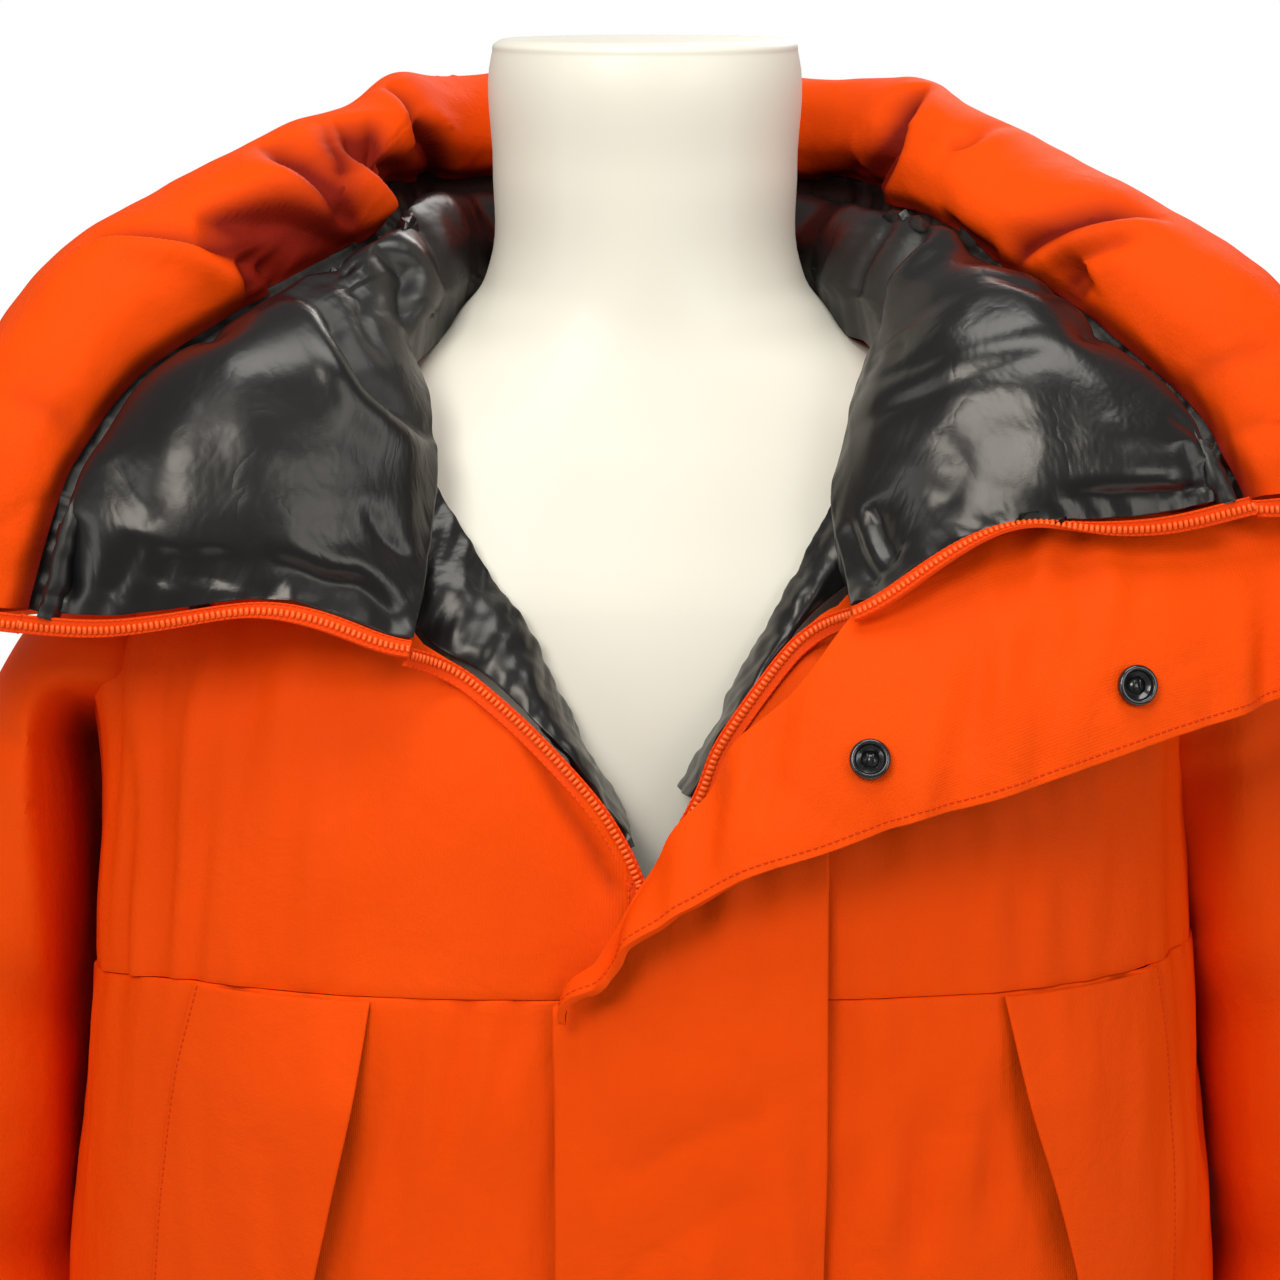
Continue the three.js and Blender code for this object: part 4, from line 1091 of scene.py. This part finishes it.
def at_steps(path, values, pitch):
    """Values at even steps along a path, and the way the path runs there."""
    run = np.insert(np.cumsum(steps(path, 0)), 0, 0)
    count = max(int(run[-1] / pitch), 1)
    at = (np.arange(count) + 0.5) * run[-1] / count

    def pick(source, where):
        return np.stack([np.interp(where, run, source[:, i]) for i in range(3)], 1)

    return pick(path, at), unit(pick(path, at + 0.4) - pick(path, at - 0.4)), pick(values, at)


def repeated(name, shape, path, outward, pitch, material):
    place, way, up = at_steps(path, outward, pitch)
    up = unit(up - way * (up * way).sum(-1, keepdims=True))
    side = np.cross(up, way)
    points, faces = shape
    axes = np.stack([way, side, up], 1)
    every = place[:, None] + points @ axes
    mesh = bpy.data.meshes.new(name)
    starts = range(0, len(points) * len(place), len(points))
    copies = [[corner + start for corner in face] for start in starts for face in faces]
    mesh.from_pydata(metres(every.reshape(-1, 3)).tolist(), [], copies)
    mesh.shade_smooth()
    finish_piece(added(name, mesh), [material], [])
    print(name, len(place), "copies")


STITCH = small_shape((1.8, 0.7, 0.5), 0.2)


def stitched(name, points, edge, inset, first=0.0):
    """A row of stitches beside one edge of a cloth grid, a fixed distance inside it."""
    run = edge_distance(points, edge)
    normals = normals_of(points)
    if edge in ("low", "high"):
        run, points, normals = run.T, points.transpose(1, 0, 2), normals.transpose(1, 0, 2)

    def across(source, i):
        order = np.argsort(run[i])
        return [np.interp(inset, run[i][order], source[i][order, n]) for n in range(3)]

    lines = range(int(first * (len(points) - 1)), len(points))
    path, outward = (np.array([across(source, i) for i in lines]) for source in (points, normals))
    repeated(name, STITCH, path + outward * 0.12, outward, 2.7, thread)


# %% [markdown]
# ## The placket and the storm flap
# The storm flap covers the closed zip. Below the chest it lies shut, which is the piece called the
# placket here. Above, it is turned back and crosses the body as a broad band with press studs.

# %% Placket
PLACKET_CREASES = """
-20 -420, 14 -398, 52 -384 : 2.2 9 0
-28 -470, 4 -440, 40 -420 : 1.8 11 0
-20 -560, 20 -520, 58 -500 : 1.8 12 0
-24 -660, 10 -640, 50 -650 : 1.6 12 0
-10 -760, 30 -740, 60 -755 : 1.6 12 0
"""


def placket_grid(rows=110, cols=44):
    z = np.linspace(HEM + 2, -284, rows)[:, None]
    left = np.where(z > YOKE_SEAM, np.maximum(-34, -29 + (z - YOKE_SEAM) * 0.62), -34.0)
    share = np.linspace(0, 1, cols)[None, :]
    x = left + (68 - left) * share
    z = np.broadcast_to(z, x.shape)
    return np.stack([x, front_y(x, z) - 6.1 - 3 * np.sin(np.pi * share), z], -1)


lifted = [(path - [0, 8, 0], *sizes) for path, *sizes in crease_rows(PLACKET_CREASES, on_front)]
cloth_panel("placket_cloth", placket_grid(), "placket", ["low"], 51, lifted, 3, 0.4)

# %% Storm flap
FLAP = table("ax ay az bx by bz", """
-30 -165.2 -348 -32 -168 -354
-21 -162.9 -336 -24 -174 -343
-10 -160.5 -318 -12 -176 -328
4 -157.4 -298 6 -178 -313
17 -156 -275 36 -179 -296
34 -152 -251 66 -179 -286
58 -152 -227 96 -178 -275
86 -134 -196 128 -175 -267
118 -130 -179 162 -170 -256
156 -127 -170 194 -160 -247
202 -117 -170 226 -148 -239
256 -96 -154 266 -130 -226
""")


def flap_points(along, across):
    first, second = (through(rows_of(FLAP, k + "x", k + "y", k + "z"), along) for k in "ab")
    share = np.asarray(across, float)[:, None, None]
    points = first + (second - first) * share
    wide = np.linalg.norm(second - first, axis=-1)
    points[..., 1] -= 0.1 * wide * np.sin(np.pi * share[..., 0])
    return points


FLAP_CREASES = """
96 -166 -216, 110 -172 -226, 124 -176 -232 : 2 7 0
128 -168 -204, 150 -168 -210, 168 -166 -216 : 1.6 8 0
40 -166 -258, 56 -172 -268, 66 -176 -276 : 1.2 8 0
186 -160 -200, 196 -158 -212, 200 -156 -226 : 1.6 8 0
"""
grid = flap_points(np.linspace(0, 11, 200), np.linspace(1, 0, 50))
grid = grid + normals_of(grid) * gathers(grid, "low", 61, 6, 0.5, 8)[..., None]
flap = cloth_panel("flap_cloth", grid, "storm_flap", [], 57, crease_rows(FLAP_CREASES))
stitched("flap_stitches", flap, "low", 3.2, 0.04)

# %% [markdown]
# ## Chest pockets
# Each pocket is a patch with a slanted opening on its inner side, where a hand goes in. The patch
# stands a little away from the front there, and its outer side is stitched down.

# %% Pockets
POCKET_LEFT = table("z inner outer", """
-350 -103 -172
-390 -110 -182
-430 -119 -188
-475 -129 -192
-530 -141 -196
-580 -152 -198
""")
POCKET_RIGHT = table("z inner outer", """
-350 135 199
-390 145 205
-430 157 208
-475 168 209
-530 176 209
-580 182 209
""")


def pocket_grid(sizes, rows=60, cols=30):
    t = np.linspace(len(sizes) - 1, 0, rows)[:, None]
    z, inner, outer = np.moveaxis(through(rows_of(sizes, "z", "inner", "outer"), t[:, 0]), -1, 0)
    share = np.linspace(0, 1, cols)[None, :]
    x = inner[:, None] + (outer - inner)[:, None] * share
    z = np.broadcast_to(z[:, None], x.shape)
    shut = np.minimum(t, len(sizes) - 1 - t) / (len(sizes) - 1)
    gape = 9 * np.minimum(1, 5 * shut) * (1 - share) ** 1.5
    y = front_y(x, z) - 1.9 - gape - 2 * np.sin(np.pi * share) * np.minimum(1, 6 * shut)
    points = np.stack([x, y, z], -1)
    return points if sizes is POCKET_RIGHT else points[:, ::-1]


for sizes, word, edge in ((POCKET_LEFT, "left", "start"), (POCKET_RIGHT, "right", "end")):
    grid = pocket_grid(sizes)
    pocket = cloth_panel("pocket_cloth_" + word, grid, "pocket_" + word, [], 71, (), 1.5, 0.2)
    stitched("pocket_stitches_" + word, pocket, edge, 2.6)

# %% [markdown]
# ## Linings inside the open front
# Between the spread fronts and the form a strip of the quilted lining shows on each side. It is
# the same slippery nylon as the collar, full of small puckers where it is quilted.

# %% Body linings
LINING_LEFT = table("ix iz ox oz", """
-80 -166 -94 -208
-67 -186 -80 -221
-54 -204 -61 -231
-42 -221 -44 -245
-32 -242 -30 -258
-19 -266 -15 -275
-7 -286 -4 -292
""")
LINING_RIGHT = table("ix iz ox oz", """
73 -169 84 -196
62 -188 69 -206
49 -212 54.2 -220
35 -234 39.3 -237
24 -256 25.8 -255
12 -276 17 -274
""")


def lining_grid(sizes, cols=90, rows=26):
    t = np.linspace(0, len(sizes) - 1, cols)
    ix, iz, ox, oz = through(rows_of(sizes, "ix", "iz", "ox", "oz"), t).T
    inner = np.stack([ix, front_y(ix, iz, FORM) - 7, iz], -1)
    outer = np.stack([ox, front_y(ox, oz) + 1, oz], -1)
    share = np.linspace(1, 0, rows)[:, None, None]
    points = inner + (outer - inner) * share
    points[..., 1] -= 5 * np.sin(np.pi * share[..., 0])
    return points if sizes is LINING_LEFT else points[:, ::-1]


for sizes, word in ((LINING_LEFT, "left"), (LINING_RIGHT, "right")):
    grid = lining_grid(sizes)
    normals = normals_of(grid)
    pucker = gathers(grid, "high", 81, 12, 0.5, 8) + gathers(grid, "low", 83, 9, 0.35, 8)
    grid = grid + normals * (pucker + waves(grid, 85, 22, 0.8))[..., None]
    piece = thicken(grid_piece("quilted_lining_" + word, grid), 4.6)
    finish_piece(piece, [lining], ["body_lining_" + word])
    sheet_of(piece, grid)

# %% [markdown]
# ## Zips
# An open zip is a woven tape with a coil of teeth, one every 2.1 mm, and a ribbed border on both
# sides. Two tapes run down the fronts and two go on along the collar's ends.

# %% Zip tapes and teeth
TOOTH = small_shape((1.55, 2.9, 1.5), 0.5)
CORD = small_shape((2.3, 0.8, 0.45), 0.2)


def zip_side(name, points, node, centre):
    """One tape, its teeth and two cord borders. Rows of the grid run across the tape."""
    normals = normals_of(points)
    piece = thicken(grid_piece(name + "_tape", points), 1.3, edge=0.4)
    finish_piece(piece, [tape], [node])
    parts = (("teeth", centre, TOOTH, 0.5, 2.1, coil), ("cord_inner", 0.06, CORD, 0.1, 2.6, tape),
             ("cord_outer", 0.94, CORD, 0.1, 2.6, tape))
    for word, share, shape, high, pitch, material in parts:
        row = round(share * (points.shape[0] - 1))
        path = points[row] + normals[row] * high
        repeated(f"{name}_{word}", shape, path, normals[row], pitch, material)


def front_zip_grid(side, cols=260, rows=17):
    sizes = V_LEFT if side < 0 else V_RIGHT
    corner = rows_of(sizes, "x", "z")
    corner[0, 0] = 0.4 * side
    half = cols // 2
    open_part = through(corner, np.linspace(len(corner) - 1, 0, half))
    closed_part = np.stack([np.full(half, 0.4 * side), np.linspace(-309, HEM + 12, half)], 1)
    edge = np.concatenate([open_part, closed_part])
    way = unit(np.gradient(edge, axis=0))
    out = np.stack([way[:, 1], -way[:, 0]], 1)
    out *= np.sign((out * [side, -0.3]).sum(1, keepdims=True))
    share = np.linspace(6.2, -0.8, rows)[:, None, None]
    flat = edge + out * share
    x, z = np.moveaxis(flat, -1, 0)
    ahead = 24 * np.clip(1 - edge_distance(flat, "start") / 28, 0, 1) ** 2
    points = np.stack([x, front_y(x, z) - 1.9 - ahead, z], -1)
    return points if side < 0 else points[:, ::-1]


def collar_zip_grid(end, cols=200, rows=17):
    w = np.linspace(0.03, 8.35, cols)
    edge, inside = (collar_points(np.array([k]), w)[:, 0] for k in (float(end), abs(end - 0.25)))
    points = edge + unit(edge - inside) * np.linspace(1.6, 8.8, rows)[:, None, None]
    points = points if end == 0 else points[:, ::-1]
    return points + normals_of(points) * 1.2


for side, word in SIDES:
    zip_side("front_zip_" + word, front_zip_grid(side), "front_zip_" + word, 0.6)
    zip_side("collar_zip_" + word, collar_zip_grid(0 if side < 0 else LAST), "collar_zip_" + word, 0.55)

# %% [markdown]
# ## Press studs
# The sockets on the flap are metal cups with a rolled rim, enamelled black, and a wire spring in
# the middle. The stud they close on sits on the left yoke. Each is a profile spun round its own
# axis and then set square to the cloth.


# %% Sockets and stud
def square_to(name, outline, place, facing):
    piece = spun(name, outline, 48)
    turn = Vector((0, 0, 1)).rotation_difference(Vector(facing)).to_matrix().to_4x4()
    piece.data.transform(Matrix.Translation(metres(place)) @ turn)
    return piece


SOCKET_OUTLINE = [(3.2, 0), (7.1, 0), (7.55, 0.5), (7.6, 1.7), (7.35, 2.6), (6.8, 3.1), (6.2, 3.2)]
SOCKET_OUTLINE += [(5.75, 3.0), (5.5, 2.5), (5.3, 1.5), (5.0, 1.0), (3.4, 0.8), (3.2, 0)]
CUP_OUTLINE = [(0, 0.35), (3.3, 0.35), (3.3, 0.05), (0, 0.05)]
WIRE = small_shape((4.6, 0.7, 0.6), 0.25)
near = np.array([-1, 0, 1])
for number, (along, across) in enumerate([(6.07, 0.565), (8.85, 0.74)], 1):
    around_place = flap_points(along + 0.1 * near, across - 0.02 * near)
    facing = normals_of(around_place)[1, 1]
    place = around_place[1, 1] + facing * 0.5
    socket = square_to(f"socket_{number}", SOCKET_OUTLINE, place, facing)
    finish_piece(socket, [enamel], [f"snap_socket_{number}"])
    cup = square_to(f"socket_cup_{number}", CUP_OUTLINE, place, facing)
    finish_piece(cup, [enamel], [])
    beside = unit(np.cross(facing, [0, 0, 1]))
    for offset, word in ((-1.1, "a"), (1.1, "b")):
        middle = place + beside * offset + facing * 0.75
        path = middle + near[:, None] * [0, 0, 2.4]
        outward = np.tile(facing, (3, 1))
        repeated(f"spring_{number}_{word}", WIRE, path, outward, 4.8, enamel)

STUD_OUTLINE = [(0, 2.4), (1.6, 2.3), (2.2, 1.9), (2.1, 1.1), (2.6, 0.9), (4.8, 0.7)]
STUD_OUTLINE += [(5.2, 0.3), (5.1, 0), (0, 0)]
facing = unit(np.array([-0.35, -1, 0.15]))
place = np.array([-170, float(front_y(-170, -214)), -214]) + facing * 0.8
stud = finish_piece(square_to("stud", STUD_OUTLINE, place, facing), [enamel], ["snap_stud"])
print("snaps placed")
